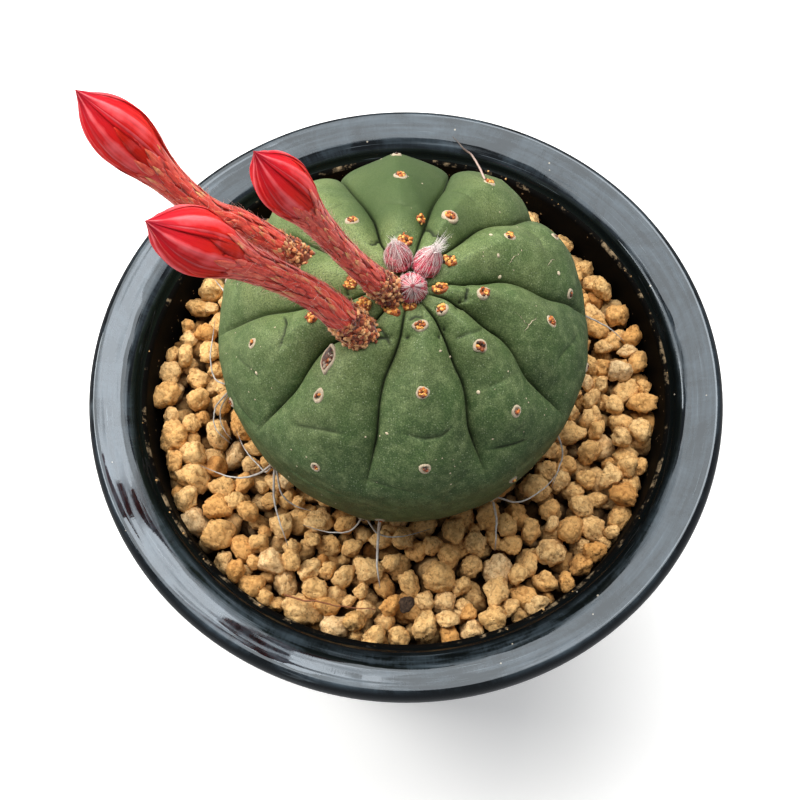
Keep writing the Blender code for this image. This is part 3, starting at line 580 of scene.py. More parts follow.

# Creases as (depth in mm, how strong the painted shade along its line is, then azimuths and latitudes
# along it). The first group rings the crown, and the second is the shallow chins and wrinkles lower down.
CREASES = (
    (1.3, 1.0, (131, 72), (124, 72), (114, 68)),
    (1.3, 1.0, (79, 66), (66, 71.5), (50, 70)),
    (1.3, 1.0, (8, 70), (359, 72.5), (351, 73), (343, 72.5)),
    (0.8, 0.9, (331, 78), (322, 79.5), (313, 79)),
    (1.0, 0.9, (231, 72), (238, 74.5), (246, 73.5), (256, 70.5)),
    (0.7, 0.6, (309, 69), (317, 67.8), (326, 65.5), (334, 63.5)),
    (1.0, 0.9, (190, 69), (203, 71), (216, 69)),
    (1.0, 0.9, (151, 71), (168, 72.5), (188, 71)),
    (0.6, 0.5, (84, 74), (100, 73), (116, 74)),
    (0.8, 0.9, (268, 79.5), (281, 80.5), (294, 79.5)),
    (1.1, 0.9, (187, 47), (194, 49.5), (199, 48.5), (205, 44)),
    (0.5, 0.45, (194, 21), (199, 26), (203, 29.5), (209, 31)),
    (0.6, 0.55, (228, 29), (234, 33.5), (239, 36.5), (248, 38.5)),
    (0.6, 0.6, (268, 43.5), (276, 41.5), (283, 41), (288, 43)),
    (0.4, 0.35, (306, 50.5), (314, 49), (320, 47.5), (325, 44)),
    (0.7, 0.8, (299, 26.5), (304, 24.5), (308, 22.8), (312, 21)),
    (0.4, 0.5, (312, 22), (310.5, 27), (310, 31)),
    (0.4, 0.3, (256, 20), (264, 19.5), (271, 17), (280, 11.5)),
    (0.4, 0.3, (281, 6), (283.5, 12), (286.5, 18), (290, 22)),
    (0.5, 0.4, (337, 33), (343, 31), (348, 27), (353, 22)),
    (0.5, 0.35, (70, 47), (64, 49.5), (60, 50.5), (54, 50)),
    (0.4, 0.3, (106, 57), (98, 61), (92, 62.5), (84, 60)),
    (0.5, 0.4, (120, 50), (128, 52), (136, 49)),
    (0.5, 0.5, (157, 52), (166, 54), (174, 51)),
    (0.5, 0.4, (22, 40), (28, 37), (34, 39)),
    (0.6, 0.5, (50, 21), (57, 18.5), (64, 21)),
    (0.6, 0.5, (84, 15), (92, 12.5), (101, 15)),
    (0.6, 0.5, (122, 24), (130, 21), (138, 25)),
    (0.6, 0.5, (156, 22), (165, 20), (173, 24)),
    (0.5, 0.4, (14, 12), (20, 9), (27, 12)),
    (0.4, 0.4, (200, 12), (210, 9), (219, 12)),
    (0.4, 0.3, (232, 6), (243, 3), (254, 6)),
)


def smooth_step(value, low, high):
    """0 up to the low value and 1 from the high one on, eased between them."""
    t = np.clip((value - low) / (high - low), 0, 1)
    return t * t * (3 - 2 * t)


def mix(a, b, t):
    """The value this share of the way from one to the other."""
    return a + (b - a) * t


def furrow_azimuth(number, latitude):
    """A furrow's azimuth in degrees at a latitude. Furrow 10 is furrow 0, one turn on."""
    crown, shoulder, waist = FURROWS[number % 10]
    high, middle, low = FURROW_LATITUDES
    upper = mix(shoulder, crown, smooth_step(latitude, middle, high))
    lower = mix(waist, shoulder, smooth_step(latitude, low, middle))
    return np.where(latitude > middle, upper, lower) + 360 * (number // 10)


def rib_at(azimuth, latitude):
    """How far across its rib each place stands, from 0 to 1, and how wide that rib is, in degrees."""
    across, span = np.zeros(azimuth.shape), np.ones(azimuth.shape)
    for number in range(10):
        low, high = furrow_azimuth(number, latitude), furrow_azimuth(number + 1, latitude)
        for turned_on in (azimuth % 360, azimuth % 360 + 360):
            inside = (low <= turned_on) & (turned_on < high)
            across = np.where(inside, (turned_on - low) / (high - low), across)
            span = np.where(inside, high - low, span)
    return across, span


def globe(azimuth, latitude, out=0.0):
    """Points on the ribbed globe, or that far out from it, each with its distance from the nearest furrow and
    how deep the furrows are there, from 0 to 1."""
    azimuth, latitude, out = np.broadcast_arrays(np.asarray(azimuth, float), np.asarray(latitude, float), out)
    turn, lat = np.radians(azimuth), np.radians(latitude)
    waist = STEM_RADIUS * (1 + STEM_LENGTHENING * np.sin(turn) ** 2)
    flat = waist * np.abs(np.cos(lat)) ** np.where(latitude > 0, 1.0, STEM_LOWER_FULLNESS)
    across, span = rib_at(azimuth, latitude)
    width = np.radians(span) * flat
    fade = FURROW_FADE[0] - FURROW_FADE[1] * np.sin(turn)
    running = smooth_step(latitude, fade - 12, fade + 14)
    deep = running * mix(0.7, 1, smooth_step(latitude, 10, 48)) * (1 - 0.92 * smooth_step(latitude, 64, 85))
    from_furrow = np.minimum(across, 1 - across) * width
    inside = 1 - np.minimum(1, from_furrow / np.minimum(FURROW_SHOULDER, width * 0.45))
    furrow = FURROW_DEPTH * (1 - np.sqrt(np.maximum(0, 1 - inside * inside)))
    ridge_turn, ridge_span, ridge_rise = BACK_RIDGE
    peaked = ridge_rise * np.exp(-(((azimuth - ridge_turn) / ridge_span) ** 4))
    peaked = peaked * (1 - smooth_step(latitude, 30, 60))
    away = out - deep * (furrow + (RIB_RIDGE + peaked) * np.abs(2 * across - 1) ** 1.1)
    slope = np.stack([np.cos(lat) / STEM_RADIUS, np.sin(lat) / STEM_HALF_HEIGHT])
    slope /= np.linalg.norm(slope, axis=0)
    radius = flat + away * slope[0]
    height = STEM_HALF_HEIGHT * np.sin(lat) + away * slope[1]
    height = height - CROWN_DIMPLE * np.exp(-((flat / CROWN_DIMPLE_RADIUS) ** 2)) * (latitude > 0)
    lean = np.maximum(0, np.sin(lat))
    x = radius * np.cos(turn) + CROWN_LEAN[0] * lean
    y = radius * np.sin(turn) + CROWN_LEAN[1] * lean
    line = running * (1 - smooth_step(latitude, 79, 87))
    return np.stack([x, y, height], -1) + STEM_CENTRE, from_furrow, line


def crease_path(stops):
    """A crease's points on the plain globe, close together."""
    stops = np.array(stops, float)
    steps = np.linspace(0, len(stops) - 1, 6 * (len(stops) - 1) + 1)
    azimuth = np.interp(steps, range(len(stops)), stops[:, 0])
    latitude = np.interp(steps, range(len(stops)), stops[:, 1])
    return globe(azimuth, latitude)[0]


crease_paths = [(depth, darkness, crease_path(stops)) for depth, darkness, *stops in CREASES]
areole_spots = globe(*np.array([place for row in AREOLES for place in row], float).T)[0]


def creased(points):
    """How far creases sink each point, in mm, and how strong the painted shade of a crease's line is there.
    """
    sunk, dark = np.zeros(len(points)), np.zeros(len(points))
    for depth, darkness, path in crease_paths:
        near = np.flatnonzero(((points > path.min(0) - 6) & (points < path.max(0) + 6)).all(1))
        spots = points[near]
        distance, share = np.full(len(near), 99.0), np.zeros(len(near))
        for number, (start, end) in enumerate(zip(path, path[1:])):
            along = np.clip((spots - start) @ (end - start) / ((end - start) @ (end - start)), 0, 1)
            apart = np.linalg.norm(spots - start - along[:, None] * (end - start), axis=1)
            closer = apart < distance
            distance = np.where(closer, apart, distance)
            share = np.where(closer, (number + along) / (len(path) - 1), share)
        taper = np.minimum(1, 5 * np.minimum(share, 1 - share) + 0.12)
        wide, narrow = np.exp(-((distance / 1.9) ** 2)), np.exp(-((distance / 0.4) ** 2))
        sink = depth * taper * (0.5 * wide + 0.5 * narrow)
        sunk[near] = np.maximum(sunk[near], sink)
        dark[near] = np.maximum(dark[near], darkness * taper * np.exp(-((distance / 0.34) ** 2)))
    return sunk, dark


def skin(azimuth, latitude):
    """Points on the detailed skin, and how much painted shade each gets from a furrow or crease line, 0 to 1.
    """
    plain, from_furrow, line = globe(azimuth, latitude)
    sunk, dark = creased(plain)
    fold = np.maximum(line * np.exp(-((from_furrow / 0.22) ** 2)), dark)
    swell = np.zeros(len(plain))
    for spot in areole_spots:
        apart = np.linalg.norm(plain - spot, axis=1)
        swell += 0.5 * np.exp(-((apart / 3.2) ** 2)) - 0.45 * np.exp(-((apart / 1.2) ** 2))
    out = swell - sunk - FURROW_LINE * line * np.exp(-((from_furrow / 0.26) ** 2))
    out += 0.28 * noise_at(plain, 0.11) + 0.07 * noise_at(plain, 0.42) + 0.015 * noise_at(plain, 1.6)
    return globe(azimuth, latitude, out)[0], fold


def make_skin_finish():
    """Living skin: matt grey-green, mottled and finely freckled paler. Painted light makes it lighter and
    yellower on its top, back and left, painted shade dulls the back rib, and painted shade makes it almost
    black-green down in its furrows and creases."""
    green, shader = new_material("cactus_skin", {"Roughness": 0.62, "IOR": 1.42, "Specular IOR Level": 0.32})
    place = add_node(green, "TexCoord")["Object"]
    names = ("fold", "painted_sunlight", "painted_back_shade")
    fold, painted_sunlight, painted_back_shade = (add_node(green, "Attribute", attribute_name=name)["Fac"] for name in names)
    # Mottles of 9 and 2.5 mm, a grain of 0.3 mm, and freckles 0.5 mm apart.
    mottles = []
    for scale, detail, rough in ((110, 3, 0.5), (400, 4, 0.6), (3600, 3, 0.7)):
        mottle = {"Vector": place, "Scale": scale, "Detail": detail, "Roughness": rough}
        mottles.append(add_node(green, "TexNoise", mottle)["Fac"])
    broad, middle, grain = mottles
    freckles = add_node(green, "TexVoronoi", {"Vector": place, "Scale": 2100.0})
    near = add_node(green, "MapRange", {0: freckles["Distance"], 1: 0.1, 2: 0.3, 3: 1.0, 4: 0.0})[0]
    chance = add_node(green, "SeparateColor", {0: freckles["Color"]})[0]
    some = add_node(green, "MapRange", {0: chance, 1: 0.45, 2: 1.0, 3: 0.0, 4: 0.85})[0]
    freckle = add_node(green, "Math", {0: near, 1: some}, operation="MULTIPLY")[0]
    # Painted shade: almost black-green along the furrow and crease lines, made ragged by the grain.
    ragged = add_node(green, "Math", {0: grain, 1: 0.6, 2: fold}, operation="MULTIPLY_ADD")[0]
    # Painted light lifts the lit side and painted shade darkens the back rib and the folds; the mottles,
    # grain and freckles are the skin's own.
    washes = (
        (painted_sunlight, 0, 1, 0, 1, "#87945c"),
        (broad, 0.35, 0.65, 0, 0.65, "#476034"),
        (middle, 0.45, 0.7, 0, 0.5, "#7e8d5f"),
        (grain, 0.4, 0.52, 0.6, 0, "#2f3e26"),
        (grain, 0.54, 0.72, 0, 0.42, "#93a272"),
        (freckle, 0, 1, 0, 1, "#9aa585"),
        (painted_back_shade, 0, 1, 0, 0.85, "#3b4d2b"),
        (ragged, 0.46, 1.1, 0, 0.88, "#1a2113"),
    )
    colour = washed(green, "#3c4e2d", washes)
    height = add_node(green, "Math", {0: middle, 1: 1.5, 2: grain}, operation="MULTIPLY_ADD")[0]
    bump = add_node(green, "Bump", {"Strength": 0.5, "Distance": 0.12 * MM, "Height": height})[0]
    return dressed(green, shader, {"Base Color": colour, "Normal": bump})


def make_stem():
    """The skin from its foot to the crown, on a root that tapers into the grit."""
    shares = np.arange(COLUMNS_IN_RIB) / COLUMNS_IN_RIB
    shares = 0.55 * shares + 0.45 * (0.5 - 0.5 * np.cos(math.pi * shares))
    latitudes = np.concatenate([np.linspace(STEM_FOOT_LATITUDE, 0, 32), np.linspace(0, 89.2, 176)[1:]])
    furrows = [furrow_azimuth(number, latitudes) for number in range(11)]
    azimuths = [mix(low, high, share) for low, high in zip(furrows, furrows[1:]) for share in shares]
    azimuths = np.array(azimuths).T
    columns = azimuths.shape[1]
    points, fold = skin(azimuths.ravel(), np.repeat(latitudes, columns))
    turn = np.radians(azimuths[0])
    way = np.stack([np.cos(turn), np.sin(turn), 0 * turn], -1)
    foot = np.array((*STEM_CENTRE[:2], points[:columns, 2].mean()))
    below = [foot + radius * way + (0, 0, depth) for radius, depth in reversed(ROOT_NECK)]
    below = np.concatenate(below)
    ends = [foot + (0, 0, ROOT_NECK[-1][1] - 1), points[-columns:].mean(0)]
    points = np.concatenate([below, points, ends])
    faces = closed_faces(len(ROOT_NECK) + len(latitudes), columns)
    height = (points[:, 2] - STEM_CENTRE[2]) / STEM_HALF_HEIGHT
    back = (points[:, 1] - STEM_CENTRE[1]) / STEM_RADIUS
    left = (STEM_CENTRE[0] - points[:, 0]) / STEM_RADIUS
    # Painted light: lighter and yellower towards the top, back and left, where the softboxes light the skin.
    painted_sunlight = smooth_step(0.45 * height + 0.4 * back + 0.26 * left + 0.15 * noise_at(points, 0.07), -0.1, 0.85)
    # Painted shade: the back rib is darkened.
    painted_back_shade = smooth_step(back, 0.1, 0.4) * np.exp(-((left / 0.4) ** 4)) * (height > -0.3)
    values = {"fold": np.concatenate([np.zeros(len(below)), fold, (0, 0.5)]), "painted_sunlight": painted_sunlight, "painted_back_shade": painted_back_shade}
    make_piece("cactus_stem", points, faces, make_skin_finish(), ["stem"], values)


make_stem()


# Areoles: oval cushions of felt that grew into the skin where spines and flowers come out. Young ones at
# the crown are crusts of amber resin, one is torn open, older ones are grey, and corky dots lie about.
# Size along and across the rib in mm, turn in degrees and look, for those that differ from their neighbours.
AREOLE_LOOKS = {
    (0, 0): (2.4, 3.0, 10, "crust"),
    (1, 0): (2.6, 2.9, 0, "felt"),
    (2, 0): (3.0, 2.9, 20, "crust"),
    (2, 1): (2.3, 1.9, -20, "open"),
    (3, 0): (2.7, 2.2, 75, "felt"),
    (4, 0): (3.0, 2.6, 0, "crust"),
    (5, 0): (2.6, 2.8, 0, "crust"),
    (5, 1): (2.4, 2.6, 0, "crust"),
    (5, 2): (2.4, 2.0, 20, "grey"),
    (6, 0): (1.9, 3.8, 0, "crust"),
    (6, 1): (6.0, 3.7, 46, "torn"),
    (6, 2): (2.9, 2.2, 0, "grey"),
    (7, 0): (2.2, 2.7, 0, "felt"),
    (7, 1): (2.6, 2.6, 0, "felt"),
    (7, 2): (2.4, 2.1, 0, "grey"),
    (8, 0): (2.1, 2.6, 12, "felt"),
    (8, 1): (2.7, 2.5, 10, "worn"),
    (8, 2): (2.4, 2.2, -20, "grey"),
    (9, 0): (3.4, 2.1, 0, "crust"),
    (9, 1): (2.6, 2.8, 0, "felt"),
    (9, 2): (2.6, 2.5, 20, "felt"),
}
# For each look: how far out its core goes, its lumps, how far out they lie, how light they are and its felt.
AREOLE_MAKE = {
    "crust": (1.1, 34, 0.95, 0.55, 0.5),
    "open": (1.1, 16, 0.9, 0.6, 0.5),
    "felt": (0.75, 18, 0.7, 0.45, 0.45),
    "worn": (0.7, 16, 0.66, 0.2, 0.4),
    "torn": (0.85, 16, 0.62, 0.1, 0.3),
    "old": (0.33, 3, 0.3, 0.1, 0.45),
    "grey": (0.0, 4, 0.4, 0.2, 0.45),
}
CROWN_CRUSTS = ((270, 84.5), (205, 83), (60, 83))
CORK_DOTS = ((295, 68), (301, 65), (37, 58), (23, 60), (262, 42), (304, 50), (13, 59), (13, 34), (206, 31))
CUSHION_SIDES = 28
# A cushion from its edge inward, as (share of its width, height), and the same for the torn one.
CUSHION_EDGE = ((1.02, -0.5), (1.06, 0.02))
CUSHION_OUTLINE = (*CUSHION_EDGE, (0.96, 0.26), (0.8, 0.42), (0.62, 0.4), (0.48, 0.24), (0.3, 0.1))
TORN_OUTLINE = (*CUSHION_EDGE, (0.97, 0.34), (0.86, 0.42), (0.76, 0.32), (0.6, 0.2), (0.3, 0.16))
SCRATCH_STATIONS = 14
SCRATCH_RADIUS = 0.09
SCRATCHES = (
    ((348, 56), (345, 52), (344, 49)),
    ((341, 51), (346, 50), (349, 48.5)),
    ((18, 56), (21, 54), (22, 51)),
    ((112, 76), (104, 75.5), (95, 75)),
    ((15, 40), (18, 37), (18, 35)),
)


def make_areole_finish():
    """Short pale felt, dirty cream to grey, round cores of amber resin that go from honey to burnt brown."""
    felt, shader = new_material("areole_felt_and_resin", {"Specular IOR Level": 0.35, "Sheen Weight": 0.15})
    place = add_node(felt, "TexCoord")["Object"]
    core, tone = (add_node(felt, "Attribute", attribute_name=name)["Fac"] for name in ("core", "tone"))
    # Tangled fluff of 0.4 mm, and clots of 0.7 mm in the resin.
    tangled = {"Vector": place, "Scale": 2600.0, "Detail": 4.0, "Roughness": 0.7}
    fluff = add_node(felt, "TexNoise", tangled)["Fac"]
    clots = add_node(felt, "TexNoise", {"Vector": place, "Scale": 1500.0, "Detail": 2.0})["Fac"]
    stops = ((0.0, "#978b7e"), (0.4, "#b3a48d"), (1.0, "#d8c8ac"))
    pale = add_node(felt, "ValToRGB", {0: tone}, stops)[0]
    clotted = add_node(felt, "Math", {0: clots, 1: 0.55, 2: tone}, operation="MULTIPLY_ADD")[0]
    stops = ((0.25, "#2a1409"), (0.45, "#713312"), (0.7, "#a8561c"), (0.95, "#cc8030"), (1.0, "#e4b05c"))
    resin = add_node(felt, "ValToRGB", {0: clotted}, stops)[0]
    colour = washed(felt, pale, ((fluff, 0.35, 0.6, 0.55, 0, "#8f8069"), (core, 0, 1, 0, 1, resin)))
    roughness = add_node(felt, "MapRange", {0: core, 3: 0.9, 4: 0.38})[0]
    bump = add_node(felt, "Bump", {"Strength": 0.8, "Distance": 0.12 * MM, "Height": fluff})[0]
    return dressed(felt, shader, {"Base Color": colour, "Roughness": roughness, "Normal": bump})


def skin_frames(places):
    """For each (azimuth, latitude), its point on the skin and the ways across the rib, up it and out."""
    azimuth, latitude = np.array(places, float).T
    step = 1.2 / np.maximum(0.08, np.cos(np.radians(latitude)))
    across = skin(azimuth + step, latitude)[0] - skin(azimuth - step, latitude)[0]
    upward = skin(azimuth, latitude + 1.2)[0] - skin(azimuth, latitude - 1.2)[0]
    out = np.cross(across, upward)
    out /= np.linalg.norm(out, axis=1, keepdims=True)
    across /= np.linalg.norm(across, axis=1, keepdims=True)
    return skin(azimuth, latitude)[0], across, np.cross(out, across), out


class Heap:
    """Collects the points, faces and values of many small shapes for one mesh."""

    def __init__(self, *labels):
        self.points, self.faces, self.values, self.count = [], [], {label: [] for label in labels}, 0

    def add(self, points, faces, **values):
        """Adds a shape, with one value for each label or one for each of its points."""
        self.points.append(points)
        self.faces += [tuple(i + self.count for i in face) for face in np.asarray(faces, object).tolist()]
        self.count += len(points)
        for label, value in values.items():
            self.values[label].append(np.broadcast_to(np.asarray(value, float), len(points)))

    def make(self, name, finish, nodes):
        """Makes one piece of all the shapes."""
        values = {label: np.concatenate(parts) for label, parts in self.values.items()}
        return make_piece(name, np.concatenate(self.points), self.faces, finish, nodes, values)


def add_cushion(heap, dice, frame_of_place, length, width, turn, look):
    """One areole: a felt ring, and a core of resin lumps or a dark hole."""
    core_share, lumps, reach, light, felted = AREOLE_MAKE[look]
    spot, across, upward, out = frame_of_place
    torn = look == "torn"
    turn = math.radians(turn)
    first = (math.cos(turn) * across + math.sin(turn) * upward) * width / 2
    second = (math.cos(turn) * upward - math.sin(turn) * across) * length / 2
    angle = round_angles(CUSHION_SIDES)
    outline = TORN_OUTLINE if torn else CUSHION_OUTLINE
    bumps = dice.normal(size=7)
    wobble = 1 + 0.09 * np.interp(angle, np.linspace(0, 2 * math.pi, 8), [*bumps, bumps[0]])
    side = wobble * np.cos(angle) * np.abs(np.cos(angle)) ** (0.6 * torn)
    along = wobble * np.sin(angle)
    ring = side[:, None] * first + along[:, None] * second
    rows, core = [], []
    for share, height in outline:
        rough = dice.uniform(-0.07, 0.07, CUSHION_SIDES) * (height > 0)
        rows.append(spot + share * ring + (height + rough)[:, None] * out)
        core.append(np.full(CUSHION_SIDES, share < core_share))
    points = np.concatenate([*rows, [spot + (outline[-1][1] - 0.02) * out]])
    last = CUSHION_SIDES * (len(outline) - 1)
    middle = last + CUSHION_SIDES
    faces = grid_faces(len(outline), CUSHION_SIDES)
    faces += [(last + i, last + (i + 1) % CUSHION_SIDES, middle) for i in range(CUSHION_SIDES)]
    tone = felted + dice.uniform(-0.1, 0.1)
    values = np.concatenate([*core, [core[-1][0]]])
    heap.add(points, faces, core=values, tone=np.where(values > 0, 0.0 if torn else 0.3, tone))
    for _ in range(lumps):
        ways, sides = ball(2)
        away = reach * math.sqrt(dice.uniform(0.5 * (look == "open"), 1))
        bearing = dice.uniform(0, 2 * math.pi)
        height = 0.42 - 0.25 * torn - 0.28 * (away < 0.2 * (look == "crust"))
        middle = spot + away * (math.cos(bearing) * first + math.sin(bearing) * second) + height * out
        size = dice.uniform(0.2, 0.44, 3) * dice.uniform(0.85, 1.2, (len(ways), 1))
        shape = (ways * size) @ random_turns(dice, 1)[0].T
        shred = 0.85 * torn * dice.integers(0, 2)
        heap.add(middle + shape, sides, core=1 - shred, tone=np.clip(light + dice.normal() * 0.3, 0, 1))


def add_cork(heap, dice):
    """Corky dots and pale healed scratches in the skin."""
    dots = [*CORK_DOTS, *zip(dice.uniform(0, 360, 90), np.degrees(np.arcsin(dice.uniform(-0.35, 0.96, 90))))]
    for number, (spot, across, upward, out) in enumerate(zip(*skin_frames(dots))):
        ways, sides = ball(2)
        size = dice.uniform(0.36, 0.55) if number < len(CORK_DOTS) else dice.uniform(0.1, 0.22)
        shape = ways * (size, size * dice.uniform(0.5, 1), size * 0.35)
        heap.add(spot + shape @ np.array([across, upward, out]), sides, core=0.0, tone=dice.uniform(0.5, 1.0))
    swell = SCRATCH_RADIUS * np.sin(math.pi * (np.arange(SCRATCH_STATIONS) + 0.5) / SCRATCH_STATIONS)
    for stops in SCRATCHES:
        steps = np.linspace(0, len(stops) - 1, SCRATCH_STATIONS)
        path = np.array([np.interp(steps, range(len(stops)), part) for part in zip(*stops)])
        path += dice.uniform(-0.3, 0.3, path.shape)
        spot, _, side, out = (part[:, None] for part in skin_frames(path.T))
        ring = np.concatenate([side, out, -side, -out], axis=1)
        rings = (spot + swell[:, None, None] * ring).reshape(-1, 3)
        heap.add(rings, closed_faces(SCRATCH_STATIONS, 4, flat=True), core=0.0, tone=0.6)


def make_areoles():
    """Every areole with its look, the crusts between the young buds, the corky dots and the scratches."""
    dice = np.random.default_rng(8)
    heap = Heap("core", "tone")
    places = [(rib, number, place) for rib, row in enumerate(AREOLES) for number, place in enumerate(row)]
    frames = zip(*skin_frames([place for _, _, place in places]))
    for (rib, number, (_, latitude)), frame_of_place in zip(places, frames):
        turn = dice.uniform(-30, 30)
        usual = (2.5, 2.3, turn, "felt") if latitude > 32 else (2.2, 2.0, turn, "old")
        add_cushion(heap, dice, frame_of_place, *AREOLE_LOOKS.get((rib, number), usual))
    for frame_of_place in zip(*skin_frames(CROWN_CRUSTS)):
        add_cushion(heap, dice, frame_of_place, 2.2, 2.6, dice.uniform(0, 180), "crust")
    add_cork(heap, dice)
    heap.make("areoles", make_areole_finish(), ["stem"])


make_areoles()


# Spines: thin grey bristles, 0.3 to 0.7 mm thick, that curl from the lowest areoles out over the grit, and
# one dark-tipped one at the back. They are hard and smooth, and grew with their areole.
# The areole each leaves by (rib, areole), its thickness at the root in mm, and points as (azimuth, distance
# from the stem's axis, height over the rim) on the way to its tip.
SPINES = (
    ((5, 4), 0.36, (188, 40, 1.5), (181.5, 40.6, 3), (176, 40.3, 4.5), (171, 40.3, 6)),
    ((5, 4), 0.40, (194, 40.5, -1.5), (196.2, 42.1, -3.5), (200, 42.4, -5.2), (205, 40.6, -6.4)),
    ((5, 4), 0.32, (194.8, 40.2, -2.5), (197.6, 41.2, -4.4), (201, 41, -5.6), (204, 40, -6.5)),
    ((6, 4), 0.50, (218.6, 39.9, -4), (214.2, 44.3, -5.2), (207, 48.5, -6.5)),
    ((6, 4), 0.38, (220, 37.9, -4.5), (216, 38.3, -5.2), (209, 38.8, -5.9), (201.5, 38.4, -6.5)),
    ((6, 4), 0.52, (227, 39.5, -3), (232, 42.5, -5.5), (239, 46.5, -6.5)),
    ((6, 4), 0.40, (229, 38.5, -3), (234, 38.5, -5.5), (239, 37.5, -6.5)),
    ((7, 4), 0.38, (254, 38.5, -4), (248, 40, -5.5), (239, 41, -6.5)),
    ((7, 4), 0.38, (262, 38, -4), (269, 38, -5.5), (279, 36.5, -6.5)),
    ((7, 3), 0.66, (262.5, 40, -1), (263, 44.5, -4), (264.4, 49, -6.5)),
    ((8, 4), 0.40, (307, 39.5, -2.5), (316, 40.5, -4.8), (326, 40.5, -6)),
    ((8, 4), 0.50, (299, 40, -3), (297, 42.5, -5), (295, 45, -6.5)),
    ((9, 4), 0.40, (329, 39.5, -2.5), (325, 40.5, -4.5), (319, 41.5, -6)),
    ((0, 4), 0.36, (26, 41, -2.5), (33, 42.5, -5), (41, 43.5, -6.5)),
    ((0, 4), 0.42, (15, 42, -2.5), (12, 46, -5), (8, 49, -6.5)),
    ((1, 1), 0.46, (65, 34, 31), (69.5, 34.5, 32.5), (74, 36, 33)),
    ((1, 3), 0.36, (56, 42, -2.5), (50, 43.5, -5), (43, 45.5, -6.5)),
    ((1, 3), 0.40, (64, 42.5, -2.5), (68, 44, -5), (73, 44.5, -6.5)),
    ((2, 5), 0.40, (90, 41, -2.5), (83, 42, -5), (77, 41, -6.5)),
    ((2, 5), 0.36, (98, 41.5, -2.5), (104, 43, -5), (110, 43, -6.5)),
    ((3, 3), 0.40, (126, 41, -2.5), (120, 43, -5), (115, 46, -6.5)),
    ((3, 3), 0.36, (136, 41, -2.5), (142, 42.5, -5), (148, 42.5, -6.5)),
    ((4, 3), 0.42, (159, 41, -3), (155, 44, -5), (152, 48, -6.5)),
)
SPINE_STATIONS = 40
SPINE_SIDES = 8
SPINE_SINK = 0.6


def make_spine_finish():
    """Dry spine: ash grey with a pinkish-brown root and a smoky tip, its surface faintly ringed."""
    horn, shader = new_material("dry_spine", {"Roughness": 0.45, "IOR": 1.54})
    place = add_node(horn, "TexCoord")["Object"]
    along, dark = (add_node(horn, "Attribute", attribute_name=name)["Fac"] for name in ("along", "dark"))
    stops = ((0.0, "#8f7866"), (0.12, "#b9b2a9"), (0.7, "#c9c7c4"), (0.93, "#8d8179"), (1.0, "#5d4f48"))
    grey = add_node(horn, "ValToRGB", {0: along}, stops)[0]
    stops = ((0.0, "#b79d92"), (0.5, "#8d7670"), (0.75, "#3e3332"), (1.0, "#1d1a1c"))
    smoky = add_node(horn, "ValToRGB", {0: along}, stops)[0]
    # Rings 0.9 mm apart, coarser than real ones so that they show.
    rings = add_node(horn, "TexNoise", {"Vector": place, "Scale": 1100.0, "Detail": 3.0})["Fac"]
    colour = washed(horn, grey, ((dark, 0, 1, 0, 1, smoky), (rings, 0.35, 0.6, 0.5, 0, "#75685e")))
    bump = add_node(horn, "Bump", {"Strength": 0.5, "Distance": 0.05 * MM, "Height": rings})[0]
    return dressed(horn, shader, {"Base Color": colour, "Normal": bump})


def smooth_path(stops, stations):
    """Points along a smooth curve through the given ones."""
    stops = np.asarray(stops, float)
    padded = np.vstack([2 * stops[0] - stops[1], stops, 2 * stops[-1] - stops[-2]])
    at = np.linspace(0, len(stops) - 1, stations)
    i = np.minimum(at.astype(int), len(stops) - 2)
    t = (at - i)[:, None]
    a, b, c, d = padded[i], padded[i + 1], padded[i + 2], padded[i + 3]
    return 0.5 * (2 * b + (c - a) * t + (2 * a - 5 * b + 4 * c - d) * t**2 + (3 * b - a - 3 * c + d) * t**3)


def tube(path, radii, sides):
    """Points and faces of a closed round tube along a path."""
    ahead = np.gradient(path, axis=0)
    ahead /= np.linalg.norm(ahead, axis=1, keepdims=True)
    side = np.cross(ahead, (0.31, 0.2, 0.93))
    side /= np.linalg.norm(side, axis=1, keepdims=True)
    over = np.cross(ahead, side)
    turn = round_angles(sides)[:, None]
    rings = [p + r * (np.cos(turn) * s + np.sin(turn) * o) for p, r, s, o in zip(path, radii, side, over)]
    return np.concatenate(rings), closed_faces(len(path), sides, flat=True)


def make_spines():
    """Each spine from its root in the areole to its tip, with a slight natural waver."""
    dice = np.random.default_rng(31)
    heap = Heap("along", "dark")
    share = np.linspace(0, 1, SPINE_STATIONS)
    for (rib, number), thickness, *stops in SPINES:
        spot, _, _, out = (part[0] for part in skin_frames([AREOLES[rib][number]]))
        turn, away, height = np.array(stops, float).T
        turn = np.radians(turn)
        flat = PLANT_AXIS + away[:, None] * np.stack([np.cos(turn), np.sin(turn)], -1)
        places = np.column_stack([flat, height + POT_HEIGHT])
        path = smooth_path([spot - SPINE_SINK * out, *places], SPINE_STATIONS)
        path += np.cumsum(dice.normal(size=path.shape), axis=0) * 0.035 * np.sin(math.pi * share)[:, None]
        radii = thickness / 2 * (1 - 0.75 * share**2.2)
        points, faces = tube(path, radii, SPINE_SIDES)
        heap.add(points, faces, along=np.repeat(share, SPINE_SIDES), dark=float((rib, number) == (1, 1)))
    heap.make("spines", make_spine_finish(), ["stem"])


make_spines()


# Long flower buds: each is a living tube under pressed scales with dry gold tips and thin pale hairs, which
# grew out of its areole through a crumbly collar and ends in a closed head of overlapping satin petals.
# Each bud's middle from the stem to its tip, with heights over the rim, and its head's widest radius.
FLOWER_BUDS = (
    (((-9.4, -7.5, 42.9), (-16.5, -6.0, 54.0), (-25.4, -6.6, 65.9), (-41.8, -8.8, 87.0)), 5.7),
    (((-3.9, -0.2, 44.4), (-10.3, -0.1, 57.3), (-15.1, 0.2, 68.8), (-24.7, 2.3, 89.8)), 4.6),
    (((-21.7, 9.6, 38.3), (-30.2, 10.3, 50.0), (-38.3, 9.8, 60.0), (-54.95, 16.1, 86.3)), 5.2),
)
